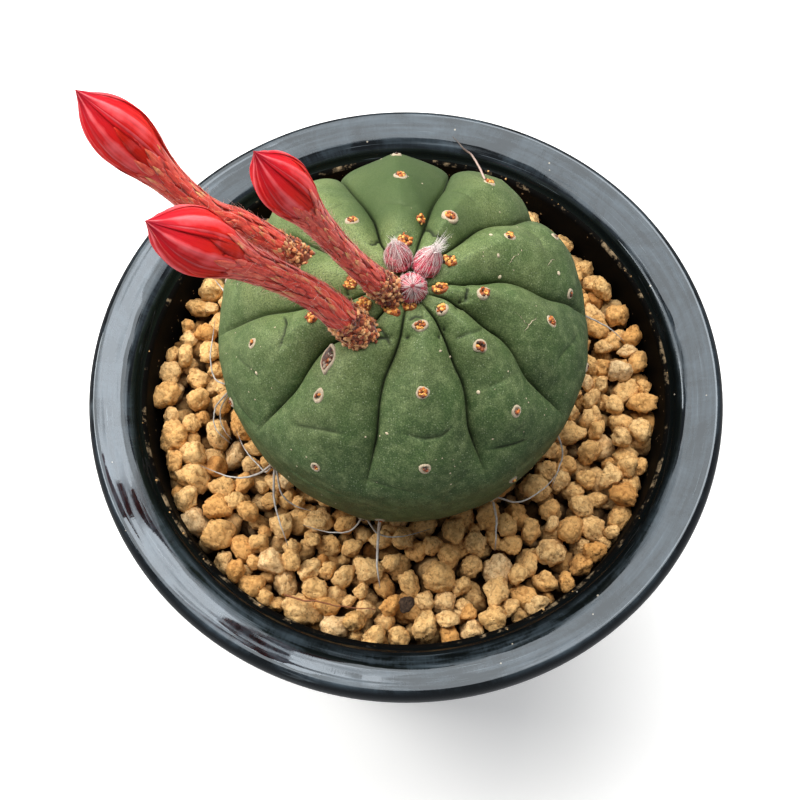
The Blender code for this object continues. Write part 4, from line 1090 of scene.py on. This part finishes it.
# A bud's outline up its tube, its neck and its beak, as shares of its length and of its head's widest radius.
TUBE_OUTLINE = ((-0.06, 0.55), (0.0, 0.6), (0.08, 0.56), (0.25, 0.5), (0.4, 0.49), (0.5, 0.52))
NECK_OUTLINE = ((0.56, 0.55), (0.61, 0.61), (0.66, 0.72), (0.71, 0.87), (0.76, 0.97), (0.81, 1.0))
BEAK_OUTLINE = ((0.87, 0.88), (0.92, 0.63), (0.96, 0.3), (0.98, 0.15), (1.0, 0.0))
# Scales stand round a bud at this angle to one another, in radians.
GOLDEN_ANGLE = 2.39996
BUD_SINK = 3.0
TUBE_END = 0.7
TUBE_SCALES = 170
NECK_BRACTS = 44
TUBE_HAIRS = 260
COLLAR_FLAKES = 60
COLLAR_LUMPS = 270
TEPALS = 5
OUTER_TEPALS = 9
TEPAL_STEP = 0.24
TEPAL_TWIST = 50
TEPAL_THICKNESS = 0.2
TEPAL_START = 0.56
TEPAL_ROWS = 46
TEPAL_COLUMNS = 20


def make_tube_finish():
    """Brick-red skin and scales that dry to gold and tan at their tips, with pale translucent hairs and a
    brown crumbly collar."""
    matt = {"IOR": 1.45, "Specular IOR Level": 0.35, "Sheen Weight": 0.25}
    scaly, shader = new_material("scaly_tube_skin", matt)
    place = add_node(scaly, "TexCoord")["Object"]
    tip, tone, hair, collar, around, run = (
        add_node(scaly, "Attribute", attribute_name=name)["Fac"]
        for name in ("tip", "tone", "hair", "collar", "around", "run")
    )
    # Fibres 0.6 mm wide and five times as long, which shift from scale to scale, and a crumb of 0.6 mm.
    shift = add_node(scaly, "Math", {0: tone, 1: 9.0}, operation="MULTIPLY")[0]
    fibre_place = add_node(scaly, "CombineXYZ", {0: around, 1: run, 2: shift})[0]
    fibre = {"Vector": fibre_place, "Scale": 1.7, "Detail": 4.0, "Roughness": 0.6}
    streak = add_node(scaly, "TexNoise", fibre)["Fac"]
    crumb = add_node(scaly, "TexNoise", {"Vector": place, "Scale": 1700.0, "Detail": 3.0})["Fac"]
    fleshy = add_node(scaly, "Math", {0: tone, 1: 0.16, 2: streak}, operation="MULTIPLY_ADD")[0]
    stops = ((0.36, "#8f2018"), (0.54, "#cf3a2c"), (0.68, "#dd5a45"), (0.82, "#e88a6c"))
    flesh = add_node(scaly, "ValToRGB", {0: fleshy}, stops)[0]
    ragged = add_node(scaly, "Math", {0: streak, 1: 0.7, 2: tip}, operation="MULTIPLY_ADD")[0]
    dry = add_node(scaly, "MapRange", {0: ragged, 1: 0.95, 2: 1.3, 3: 0.0, 4: 0.9})[0]
    dries = add_node(scaly, "MapRange", {0: tone, 1: 0.55, 2: 0.8})[0]
    dried = add_node(scaly, "Math", {0: dry, 1: dries}, operation="MULTIPLY")[0]
    gold = add_node(scaly, "ValToRGB", {0: crumb}, ((0.35, "#a86f3c"), (0.6, "#dfb273")))[0]
    crumbly = add_node(scaly, "Math", {0: crumb, 1: 0.6, 2: tone}, operation="MULTIPLY_ADD")[0]
    stops = ((0.3, "#551d10"), (0.6, "#9e4a2b"), (0.85, "#c67c49"), (1.0, "#dfa973"))
    bark = add_node(scaly, "ValToRGB", {0: crumbly}, stops)[0]
    pale = add_node(scaly, "ValToRGB", {0: tone}, ((0.0, "#bf7f6e"), (1.0, "#e2c9ba")))[0]
    washes = ((dried, 0, 1, 0, 1, gold), (collar, 0, 1, 0, 1, bark), (hair, 0, 1, 0, 1, pale))
    colour = washed(scaly, flesh, washes)
    roughness = add_node(scaly, "MapRange", {0: crumb, 3: 0.55, 4: 0.8})[0]
    bump = add_node(scaly, "Bump", {"Strength": 0.7, "Distance": 0.1 * MM, "Height": streak})[0]
    return dressed(scaly, shader, {"Base Color": colour, "Roughness": roughness, "Normal": bump})


def make_petal_finish():
    """Satin petals: scarlet with a painted pink highlight on their ridges, crimson at the beak, darker
    crimson along their edges that is partly their own colour and partly painted shade where they overlap,
    finely veined lengthwise, browner where they leave the tube."""
    satin = {
        "Roughness": 0.5,
        "IOR": 1.45,
        "Specular IOR Level": 0.1,
        "Subsurface Weight": 0.3,
        "Subsurface Radius": (1.0, 0.25, 0.15),
        "Subsurface Scale": 1.2 * MM,
    }
    petal, shader = new_material("satin_petal", satin)
    names = ("share", "edge", "ridge", "round")
    share, edge, ridge, round_bud = (
        add_node(petal, "Attribute", attribute_name=name)["Fac"] for name in names
    )
    place = add_node(petal, "TexCoord")["Object"]
    # Veins 0.5 mm apart and 7 mm long, coarser than real ones so that they show, and a painted highlight in
    # 5 mm clouds.
    length = add_node(petal, "Math", {0: share, 1: 5.0}, operation="MULTIPLY")[0]
    vein_place = add_node(petal, "CombineXYZ", {0: round_bud, 1: length})[0]
    vein = {"Vector": vein_place, "Scale": 1.6, "Detail": 4.0, "Roughness": 0.6}
    veins = add_node(petal, "TexNoise", vein)["Fac"]
    highlight_clouds = add_node(petal, "TexNoise", {"Vector": place, "Scale": 210.0, "Detail": 3.0})["Fac"]
    # Painted highlight: pink where the folds' ridges and the clouds stand high.
    raised = add_node(petal, "Math", {0: highlight_clouds, 1: 1.2, 2: ridge}, operation="MULTIPLY_ADD")[0]
    stops = ((0.56, "#9a2a22"), (0.66, "#c42618"), (0.78, "#d8241a"), (0.9, "#d01e26"), (1.0, "#9a1026"))
    along = add_node(petal, "ValToRGB", {0: share}, stops)[0]
    washes = (
        (veins, 0.34, 0.52, 0.6, 0, "#980f18"),
        (raised, 1.1, 1.6, 0, 0.75, "#f26e74"),
        # Darker crimson along the seams: partly the petals' own colour, partly painted shade where one petal
        # lies over the next and on the hidden middle.
        (edge, 0, 1, 0, 1, "#aa141c"),
    )
    colour = washed(petal, along, washes)
    bump = add_node(petal, "Bump", {"Strength": 0.35, "Distance": 0.1 * MM, "Height": veins})[0]
    return dressed(petal, shader, {"Base Color": colour, "Normal": bump})


class BudShape:
    """A bud's middle line and outline, which place a point by its share of the length, its angle round the
    bud and how far it stands out from the outline."""

    def __init__(self, stops, widest):
        line = smooth_path(np.array(stops, float) + (0, 0, POT_HEIGHT), 120)
        self.length = np.linalg.norm(np.diff(line, axis=0), axis=1).sum()
        start = line[0] - (line[1] - line[0]) / np.linalg.norm(line[1] - line[0]) * BUD_SINK
        self.line = np.vstack([start, line])
        runs = np.concatenate([[0], np.cumsum(np.linalg.norm(np.diff(self.line, axis=0), axis=1))])
        self.shares = (runs - BUD_SINK) / self.length
        self.ahead = np.gradient(self.line, axis=0)
        self.ahead /= np.linalg.norm(self.ahead, axis=1, keepdims=True)
        outline = smooth_path(TUBE_OUTLINE + NECK_OUTLINE + BEAK_OUTLINE, 300)
        self.outline = outline[:, 0], outline[:, 1] * widest

    def along(self, table, share):
        """The row of a table of the middle line's that belongs to a share of the length."""
        return np.stack([np.interp(share, self.shares, table[:, k]) for k in range(3)], -1)

    def radius(self, share):
        """The outline's radius at a share of the length."""
        return np.interp(share, *self.outline)

    def place(self, share, angle, out):
        """The points at these shares of the length, angles and distances out from the outline."""
        share, angle, out = np.broadcast_arrays(share, angle, out)
        ahead = self.along(self.ahead, share)
        side = np.cross(ahead, (0, 0, 1))
        side /= np.linalg.norm(side, axis=-1, keepdims=True)
        over = np.cross(side, ahead)
        way = np.cos(angle)[..., None] * side + np.sin(angle)[..., None] * over
        return self.along(self.line, share) + np.maximum(0.02, self.radius(share) + out)[..., None] * way


def leaf(stations=7):
    """A pointed scale: for each point of its rings, how far along and across it lies and which face it is
    on, and the faces between them."""
    along = np.linspace(0, 1, stations)
    half = np.interp(along, (0, 0.2, 0.45, 0.7, 0.88, 1), (0.6, 0.88, 1, 0.76, 0.42, 0.05))
    across = np.array([-1, -0.5, 0.5, 1, 0.5, -0.5])
    face = np.array([0, 1, 1, 0, -1, -1])
    faces = closed_faces(stations, 6, flat=True)
    return np.repeat(along, 6), (half[:, None] * across).ravel(), np.tile(face, stations), faces


def add_scale(heap, shape, share, angle, length, width, lift, thickness=0.22, **values):
    """One scale pressed on a bud, its root in the tube and its tip lifted."""
    along, across, face, faces = leaf()
    reach = share + along * length / shape.length
    radius = np.maximum(1.0, shape.radius(reach))
    cupped = -0.12 * across**2 * width / 2
    raised = -0.5 + 0.5 * np.minimum(1, along * 3) + lift * along**2
    out = raised + face * thickness / 2 * (1.2 - along) + cupped
    points = shape.place(reach, angle + across * width / 2 / radius, out)
    run = reach * shape.length / 5
    heap.add(points, faces, tip=along, around=across * width / 2 + 7 * angle, run=run, hair=0, **values)


def add_tube_core(heap, shape):
    """The tube itself, with low ridges, its foot crusty where the collar is."""
    rows, columns = 60, 72
    share = np.linspace(-0.04, TUBE_END, rows)[:, None]
    angle = round_angles(columns)
    ridges = 0.14 * np.sin(5 * angle + 9 * share) + 0.1 * np.sin(13 * angle - 40 * share)
    core = shape.place(share, angle, -0.18 + ridges).reshape(-1, 3)
    core = np.vstack([core, shape.along(shape.line, np.array([-0.04, TUBE_END]))])
    crusty = np.append(np.repeat(1 - smooth_step(share.ravel(), 0.04, 0.1), columns), (1, 0))
    around = np.append(np.tile(4 * np.abs(angle - math.pi), rows), (0, 0))
    run = np.append(np.repeat(share.ravel() * shape.length / 5, columns), (0, 0))
    values = {"tip": 0.2, "tone": 0.15, "hair": 0, "collar": crusty, "around": around, "run": run}
    heap.add(core, closed_faces(rows, columns), **values)


def add_tube_scales(heap, shape, dice):
    """The scales up the tube, the flakes of its collar, and the longer bracts under the head."""
    for k in range(TUBE_SCALES):
        at = 0.06 + 0.52 * (k + dice.uniform(-0.4, 0.4)) / TUBE_SCALES
        turn = k * GOLDEN_ANGLE + dice.normal() * 0.6
        size = dice.uniform(0.55, 1.3)
        length, lift = (4.4 + 3.6 * at) * size * dice.uniform(0.8, 1.3), dice.uniform(0.0, 0.14)
        add_scale(heap, shape, at, turn, length, 1.15 * size, lift, 0.11, tone=dice.uniform(0, 1), collar=0)
    for _ in range(COLLAR_FLAKES):
        at = dice.uniform(-0.02, 0.09)
        size = dice.uniform(0.6, 1.1)
        turn = dice.uniform(0, 2 * math.pi)
        tone = np.clip(dice.normal(0.5, 0.3), 0, 1)
        add_scale(heap, shape, at, turn, 2.0 * size, 0.9 * size, dice.uniform(0.1, 0.6), tone=tone, collar=1)
    for k in range(NECK_BRACTS):
        at = 0.46 + 0.18 * k / NECK_BRACTS
        size = dice.uniform(0.75, 1.2)
        turn = k * GOLDEN_ANGLE + dice.normal() * 0.15
        lift, tone = dice.uniform(0.0, 0.12), dice.uniform(0, 0.66)
        add_scale(heap, shape, at, turn, 7.0 * size, 1.6 * size, lift, 0.14, tone=tone, collar=0)


def add_collar_lumps(heap, shape, dice):
    """The crumbly lumps that the bud grew out through."""
    for _ in range(COLLAR_LUMPS):
        at = dice.uniform(-0.06, 0.09)
        spot = shape.place(at, dice.uniform(0, 2 * math.pi), dice.uniform(-0.45, 0.15))
        ways, sides = ball(2)
        ways = ways * dice.uniform(0.6, 1.4, (len(ways), 1))
        lump = (ways * dice.uniform(0.25, 0.6, 3)) @ random_turns(dice, 1)[0].T
        tone = np.clip(dice.normal(0.5, 0.28), 0, 1)
        heap.add(spot + lump, sides, tip=0.5, tone=tone, hair=0, collar=1, around=0, run=0)


def add_tube_hairs(heap, shape, dice):
    """Thin pale hairs that lie up the tube and curl away from it."""
    for _ in range(TUBE_HAIRS):
        at, turn = dice.uniform(0.03, 0.6), dice.uniform(0, 2 * math.pi)
        length, stray = dice.uniform(0.8, 2.6) / shape.length, dice.normal() * 0.3
        t = np.linspace(0, 1, 5)
        out = -0.2 + dice.uniform(0.5, 1.5) * t + dice.normal() * 0.15 * t**2
        path = shape.place(at + length * t, turn + stray * t + 0.2 * dice.normal() * t**2, out)
        points, faces = tube(path, 0.038 * (1.05 - t), 3)
        heap.add(points, faces, tip=0, tone=dice.uniform(0, 1), hair=1, collar=0, around=0, run=0)


def make_bud_tube(number, shape, dice, finish):
    """The tube, with its scales, its collar and its hairs."""
    heap = Heap("tip", "tone", "hair", "collar", "around", "run")
    add_tube_core(heap, shape)
    add_tube_scales(heap, shape, dice)
    add_collar_lumps(heap, shape, dice)
    add_tube_hairs(heap, shape, dice)
    name = f"flower_bud_{number}_tube"
    heap.make(f"flower_bud_{number}_scaly_tube", finish, [name])


def both_faces(value):
    """A value at each point of a petal's outer face, then of its inner face, which runs back."""
    outer = np.broadcast_to(value, (TEPAL_ROWS, TEPAL_COLUMNS))
    return np.concatenate([outer, outer[:, ::-1]], axis=1).ravel()


def add_tepals(heap, shape, share, fade):
    """The thin petals, each free edge lying over the next one's root."""
    ring = 2 * TEPAL_COLUMNS
    for tepal in range(TEPALS):
        across = np.linspace(-0.45, 1.0, TEPAL_COLUMNS)[None, :]
        turn = 2 * math.pi * (tepal + across) / TEPALS + math.radians(TEPAL_TWIST) * share
        fold = 0.19 * np.sin(9 * across + 3.2 * share + tepal)
        fold = fold + 0.08 * np.sin(23 * across - 4 * share + 2 * tepal)
        lip = 0.03 * smooth_step(across, 0.86, 1.0)
        out = -fade * (TEPAL_STEP * (1 - across) - fold * 0.8 - lip) - 0.05
        thin = TEPAL_THICKNESS * (1 - 0.75 * smooth_step(across, 0.9, 1.0)) * (0.25 + 0.75 * fade)
        outer = shape.place(share, turn, out)
        inner = shape.place(share, turn, out - thin)
        points = np.concatenate([outer, inner[:, ::-1]], axis=1).reshape(-1, 3)
        faces = grid_faces(TEPAL_ROWS, ring)
        for end in (0, (TEPAL_ROWS - 1) * ring):
            back = end + ring - 1
            faces += [(end + i, end + i + 1, back - 1 - i, back - i) for i in range(TEPAL_COLUMNS - 1)]
        # Both sides of each seam are darker: partly petal colour, partly painted shade under the overlap.
        edge = 0.3 * smooth_step(across, 0.9, 1.0) + 0.3 * (1 - smooth_step(across, 0.0, 0.16))
        values = {
            "share": share,
            "edge": edge * (0.3 + 0.7 * fade),
            "round": across * 9 + tepal * 20,
            # The folds' ridges, which carry the painted pink highlight.
            "ridge": np.clip(0.5 + 1.8 * fold, 0, 1),
        }
        heap.add(points, faces, **{label: both_faces(value) for label, value in values.items()})


def add_outer_tepals(heap, shape, dice):
    """Short narrow petals, pressed on the roots of the others."""
    for k in range(OUTER_TEPALS):
        along, across, face, sides = leaf(12)
        length, width = dice.uniform(9, 15), dice.uniform(3.0, 4.2)
        reach = 0.56 + 0.09 * k / OUTER_TEPALS + along * length / shape.length
        turn = k * GOLDEN_ANGLE + dice.normal() * 0.25
        turn = turn + across * width / 2 / np.maximum(2.0, shape.radius(reach))
        out = -0.35 + 0.38 * smooth_step(along, 0, 0.35) - 0.3 * along**2
        out += 0.05 * face * (1.2 - along) - 0.2 * across**2
        values = {
            "share": 0.62 + 0.14 * along,
            "edge": 0.5 * smooth_step(np.abs(across), 0.5, 1.0),
            "round": across * 6 + 9 * k,
            "ridge": 0.4 + 0.2 * along,
        }
        heap.add(shape.place(reach, turn, out), sides, **values)


def make_bud_head(number, shape, dice, finish):
    """The closed flower: its petals round a solid middle."""
    heap = Heap("share", "edge", "round", "ridge")
    share = np.linspace(TEPAL_START, 1.0, TEPAL_ROWS)[:, None]
    fade = smooth_step(share, TEPAL_START, 0.7) * (1 - smooth_step(share, 0.9, 1.0))
    add_tepals(heap, shape, share, fade)
    add_outer_tepals(heap, shape, dice)
    ring = 2 * TEPAL_COLUMNS
    middle = shape.place(share, round_angles(ring), -1.15 * fade - 0.12).reshape(-1, 3)
    faces = closed_faces(TEPAL_ROWS, ring, flat=True)
    # The middle shows only in gaps between the petals; its dark crimson is painted shade.
    heap.add(middle, faces, share=np.repeat(share.ravel(), ring), edge=0.8, round=0, ridge=0)
    heap.make(f"flower_bud_{number}_petals", finish, [f"flower_bud_{number}_tepals"])


def make_flower_buds():
    """The three buds, each as a tube and a head on one middle line."""
    tube_finish, petal_finish = make_tube_finish(), make_petal_finish()
    for number, (stops, widest) in enumerate(FLOWER_BUDS, 1):
        dice = np.random.default_rng(40 + number)
        shape = BudShape(stops, widest)
        make_bud_tube(number, shape, dice, tube_finish)
        make_bud_head(number, shape, dice, petal_finish)


make_flower_buds()


# Young buds: three woolly buds in the crown, each an egg of pink scales under white hairs combed to its tip.
# They grew from the youngest areoles. Each one's place from the crown, radius, tip's lean and tuft's length.
YOUNG_BUDS = (
    ((-1.8, 5.0), 2.7, (-0.1, 0.34), 1.2),
    ((3.0, 4.1), 2.8, (0.36, 0.3), 2.4),
    ((0.4, -0.1), 3.2, (0.02, -0.34), 0.0),
)
YOUNG_BUD_HEIGHT = 5.6
YOUNG_BUD_SCALES = 70
YOUNG_BUD_HAIRS = 240


def make_wool_finish():
    """Pink to magenta scales with paler rims, under silky white hairs."""
    silky = {"Roughness": 0.6, "IOR": 1.45, "Sheen Weight": 0.15}
    wool, shader = new_material("pink_scale_and_wool", silky)
    place = add_node(wool, "TexCoord")["Object"]
    names = ("tip", "tone", "hair")
    tip, tone, hair = (add_node(wool, "Attribute", attribute_name=name)["Fac"] for name in names)
    # Streaks of 0.8 mm in the scales.
    streak = add_node(wool, "TexNoise", {"Vector": place, "Scale": 1300.0, "Detail": 4.0})["Fac"]
    fleshy = add_node(wool, "Math", {0: streak, 1: 0.5, 2: tone}, operation="MULTIPLY_ADD")[0]
    stops = ((0.25, "#5f1220"), (0.6, "#981f33"), (0.95, "#c03f56"))
    flesh = add_node(wool, "ValToRGB", {0: fleshy}, stops)[0]
    white = add_node(wool, "ValToRGB", {0: tone}, ((0.0, "#e3b9bd"), (0.6, "#fbf2f0")))[0]
    colour = washed(wool, flesh, ((tip, 0.7, 1, 0, 0.45, "#d8a2a0"), (hair, 0, 1, 0, 1, white)))
    bump = add_node(wool, "Bump", {"Strength": 0.5, "Distance": 0.08 * MM, "Height": streak})[0]
    return dressed(wool, shader, {"Base Color": colour, "Normal": bump})


def crown_height(x, y):
    """How high the skin stands at a place near the crown."""
    azimuth, latitude = np.meshgrid(np.arange(0, 360, 6.0), np.arange(70, 90, 1.0))
    points = skin(azimuth.ravel(), latitude.ravel())[0]
    return points[np.argmin(np.hypot(points[:, 0] - x, points[:, 1] - y)), 2]


def make_young_bud(number, offset, widest, lean, tuft, dice, finish):
    """An egg of scales, hairs combed up it and over its tip, and at most a tuft at the tip."""
    heap = Heap("tip", "tone", "hair")
    x = STEM_CENTRE[0] + CROWN_LEAN[0] + offset[0]
    y = STEM_CENTRE[1] + CROWN_LEAN[1] + offset[1]
    foot = np.array((x, y, crown_height(x, y) - 0.3))
    lean = np.array((*lean, 0))
    up = np.array((offset[0] * 0.06, (offset[1] - 3) * 0.06, 1.0))
    up /= np.linalg.norm(up)
    side = np.cross(up, (0, 1, 0))
    side /= np.linalg.norm(side)
    over = np.cross(up, side)

    def place(level, angle, out):
        """The points at these shares of the height, angles and distances out from the egg."""
        level, angle, out = np.broadcast_arrays(level, angle, out)
        swell = np.maximum(0, np.sin(math.pi * (0.30 + 0.68 * np.clip(level, 0, 1.02)))) ** 0.8
        radius = np.maximum(0.02, widest * 0.86 * swell + out)
        way = np.cos(angle)[..., None] * side + np.sin(angle)[..., None] * over
        bent = lean * (np.maximum(0, level) ** 2)[..., None] * 2.2
        return foot + radius[..., None] * way + (level * YOUNG_BUD_HEIGHT)[..., None] * up + bent

    rows, columns = 24, 36
    core = place(np.linspace(-0.05, 1.0, rows)[:, None], round_angles(columns), -0.25).reshape(-1, 3)
    heap.add(core, closed_faces(rows, columns, flat=True), tip=0.1, tone=0.2, hair=0)
    along, across, face, sides = leaf()
    for k in range(YOUNG_BUD_SCALES):
        level = -0.05 + 0.82 * k / YOUNG_BUD_SCALES
        turn = k * GOLDEN_ANGLE + dice.normal() * 0.08
        width = 0.52 * (1 - 0.55 * max(0, level))
        reach = level + along * dice.uniform(0.3, 0.38)
        out = -0.15 + 0.12 * face * (1.1 - along) + 0.3 * np.sin(math.pi * along) + 0.2 * along
        out -= 0.4 * np.maximum(0, reach - 0.92)
        heap.add(place(reach, turn + across * width, out), sides, tip=along, tone=dice.uniform(0, 1), hair=0)
    t = np.linspace(0, 1, 6)
    for k in range(YOUNG_BUD_HAIRS):
        level = dice.uniform(-0.02, 0.85)
        turn, stray = dice.uniform(0, 2 * math.pi), dice.normal() * 0.1
        length = dice.uniform(0.3, 0.6)
        lift = dice.uniform(0.25, 0.5)
        reach = np.minimum(level + length * t, 1.0 + 0.12 * t)
        path = place(reach, turn + stray * t, 0.12 + lift * np.sin(math.pi * (0.15 + 0.7 * t)))
        points, faces = tube(path, 0.043 * (1.05 - t), 3)
        heap.add(points, faces, tip=0, tone=dice.uniform(0.1, 1), hair=1)
    tip = place(np.array(0.95), np.array(0.0), np.array(-1.0))
    for _ in range(int(60 * min(1, tuft))):
        way = up + 2.2 * lean + dice.normal(size=3) * 0.38
        start = tip + dice.normal(size=3) * 0.35
        bend = dice.normal(size=3) * 0.3
        path = start + t[:, None] * way * tuft * dice.uniform(0.5, 1.0) + (t**2)[:, None] * bend
        points, faces = tube(path, 0.065 * (1.05 - t), 3)
        heap.add(points, faces, tip=0, tone=dice.uniform(0.6, 1), hair=1)
    heap.make(f"young_bud_{number}_wool", finish, [f"young_bud_{number}"])


wool_finish = make_wool_finish()
for bud_number, bud in enumerate(YOUNG_BUDS, 1):
    make_young_bud(bud_number, *bud, np.random.default_rng(60 + bud_number), wool_finish)


# Litter: a chip of dark bark and a dry reddish rootlet that lie on the granules, and crumbs of clay dust
# that stay on the pot's ledge. All of it fell there and is held by nothing.
# Places are in mm from the pot's axis, with heights over the rim.
BARK_CHIP = (-0.2, -46.6, -8.6)
BARK_CHIP_SIZE = (1.7, 1.2, 0.6)
ROOTLET = ((-25.1, -44.6), (-21.9, -45.6), (-18.2, -46.1), (-14.7, -46.9), (-10.6, -47.3), (-6.4, -47.8))
ROOTLET_LEVEL = -7.9
LEDGE_CRUMBS = 18
CRUMB_LEVEL = -4.2


def make_bark_finish():
    """Dead bark and root: dull dark brown with paler rubbed ridges and a reddish grain."""
    bark, shader = new_material("dead_bark_and_root", {"Roughness": 0.9, "Specular IOR Level": 0.25})
    place = add_node(bark, "TexCoord")["Object"]
    red = add_node(bark, "Attribute", attribute_name="red")["Fac"]
    # A grain of 0.45 mm.
    rough = {"Vector": place, "Scale": 2200.0, "Detail": 4.0, "Roughness": 0.7}
    grain = add_node(bark, "TexNoise", rough)["Fac"]
    colour = washed(bark, "#2b2019", ((red, 0, 1, 0, 1, "#8f5a3c"), (grain, 0.45, 0.7, 0, 0.6, "#6b5341")))
    bump = add_node(bark, "Bump", {"Strength": 0.8, "Distance": 0.15 * MM, "Height": grain})[0]
    return dressed(bark, shader, {"Base Color": colour, "Normal": bump})


def make_litter():
    """The bark chip and the rootlet in one piece, and the crumbs of clay in another."""
    dice = np.random.default_rng(77)
    heap = Heap("red")
    shape, faces, _ = clay_granule(dice, GRAIN_FINENESS)
    chip = (shape * BARK_CHIP_SIZE) @ np.array(((0.8, 0.6, 0.1), (-0.6, 0.8, 0.1), (0, -0.1, 1)))
    heap.add(chip + BARK_CHIP + np.array((0, 0, POT_HEIGHT)), faces, red=0.0)
    flat = smooth_path(ROOTLET, 50)
    ground = np.column_stack([flat, 0 * flat[:, 0]])
    flat += 0.25 * np.stack([noise_at(ground, 0.5, (k, 0, 0)) for k in (3, 9)], -1)
    ground = np.column_stack([flat, 0 * flat[:, 0]])
    level = POT_HEIGHT + ROOTLET_LEVEL + 0.5 * noise_at(ground, 0.23)
    points, faces = tube(np.column_stack([flat, level]), np.linspace(0.24, 0.12, 50), 6)
    heap.add(points, faces, red=1.0)
    heap.make("bark_and_rootlet", make_bark_finish(), ["grit"])
    crumbs = Heap("tone", "pit")
    for _ in range(LEDGE_CRUMBS):
        ways, sides = ball(3)
        turn = math.radians(dice.choice((60, 20, 205, 300)) + dice.normal() * 22)
        reach = dice.uniform(56.1, 56.7)
        size = dice.uniform(0.1, 0.24)
        spot = (reach * math.cos(turn), reach * math.sin(turn), POT_HEIGHT + CRUMB_LEVEL + size * 0.4)
        lump = (ways * size * dice.uniform(0.6, 1.2, 3)) @ random_turns(dice, 1)[0].T
        crumbs.add(lump + spot, sides, tone=dice.uniform(0.3, 0.9), pit=0.1)
    crumbs.make("ledge_crumbs", bpy.data.materials["baked_clay"], ["grit"])


make_litter()


# Studio: a plain white floor under a large overhead softbox, with a brighter patch inside it and one more
# softbox to the left. The camera stands 330 mm off and looks down on the plant at 68 degrees.
# Each softbox has its direction from the plant, its width and length in mm and its power in watts.
CAMERA_TARGET = (-1.28, -4.43, 96.0)
CAMERA_DISTANCE = 330.0
CAMERA_ELEVATION = 68.06
CAMERA_LENS = 70.218
FLOOR_RADIUS = 2500.0
LIGHT_DISTANCE = 560.0
ROOM_LIGHT = 0.31
SOFTBOXES = (
    ("overhead", (0.0, 0.4, 0.917), 560, 560, 5.0, "#fffdf8"),
    ("inner", (0.193, 0.45, 0.873), 185, 220, 0.75, "#ffffff"),
    ("left", (-0.72, 0.22, 0.66), 260, 300, 3.0, "#fffdf8"),
)


def make_floor():
    """A white light table's matt sheet, lit a little from below, with a faint mottle."""
    matt = {"Roughness": 0.9, "Specular IOR Level": 0.2, "Emission Strength": 0.35}
    card, shader = new_material("white_light_table", matt)
    mottle = add_node(card, "TexNoise", {"Scale": 9.0, "Detail": 2.0})["Fac"]
    tint = add_node(card, "ValToRGB", {0: mottle}, ((0.3, "#f7f7f7"), (0.7, "#fbfbfb")))[0]
    dressed(card, shader, {"Base Color": tint, "Emission Color": tint})
    turn = round_angles(64)
    rim = np.stack([np.cos(turn), np.sin(turn), 0 * turn], -1) * FLOOR_RADIUS * MM
    mesh = bpy.data.meshes.new("studio_floor")
    mesh.from_pydata(rim.tolist(), [], [tuple(range(64))])
    mesh.materials.append(card)
    floor = bpy.data.objects.new("studio_floor", mesh)
    floor.location.z = -0.1 * MM
    floor.visible_glossy = False
    bpy.context.scene.collection.objects.link(floor)


def make_lights():
    """The softboxes, all turned to the plant, and a dim even light from all round."""
    target = Vector(CAMERA_TARGET) * MM
    for name, way, width, length, power, colour in SOFTBOXES:
        lamp = bpy.data.lights.new(name, "AREA")
        lamp.shape = "RECTANGLE"
        lamp.size = width * MM
        lamp.size_y = length * MM
        lamp.energy = power
        lamp.color = linear(colour)[:3]
        box = bpy.data.objects.new(name, lamp)
        out = Vector(way).normalized()
        side = Vector((0, 1, 0)).cross(out).normalized()
        box.location = target + out * LIGHT_DISTANCE * MM
        box.rotation_euler = Matrix((side, out.cross(side), out)).transposed().to_euler()
        bpy.context.scene.collection.objects.link(box)
    world = bpy.data.worlds.new("studio")
    world.use_nodes = True
    world.node_tree.nodes["Background"].inputs["Color"].default_value = linear("#f3f6fa")
    world.node_tree.nodes["Background"].inputs["Strength"].default_value = ROOM_LIGHT
    bpy.context.scene.world = world


def make_camera():
    """The camera, at the photograph's distance and angle."""
    raised = math.radians(CAMERA_ELEVATION)
    back = Vector((0, -math.cos(raised), math.sin(raised)))
    data = bpy.data.cameras.new("camera")
    data.lens = CAMERA_LENS
    data.sensor_width = 36
    camera = bpy.data.objects.new("camera", data)
    camera.location = (Vector(CAMERA_TARGET) + back * CAMERA_DISTANCE) * MM
    camera.rotation_euler = (math.pi / 2 - raised, 0, 0)
    bpy.context.scene.collection.objects.link(camera)
    bpy.context.scene.camera = camera
    bpy.context.scene.view_settings.view_transform = "Standard"


make_floor()
make_lights()
make_camera()
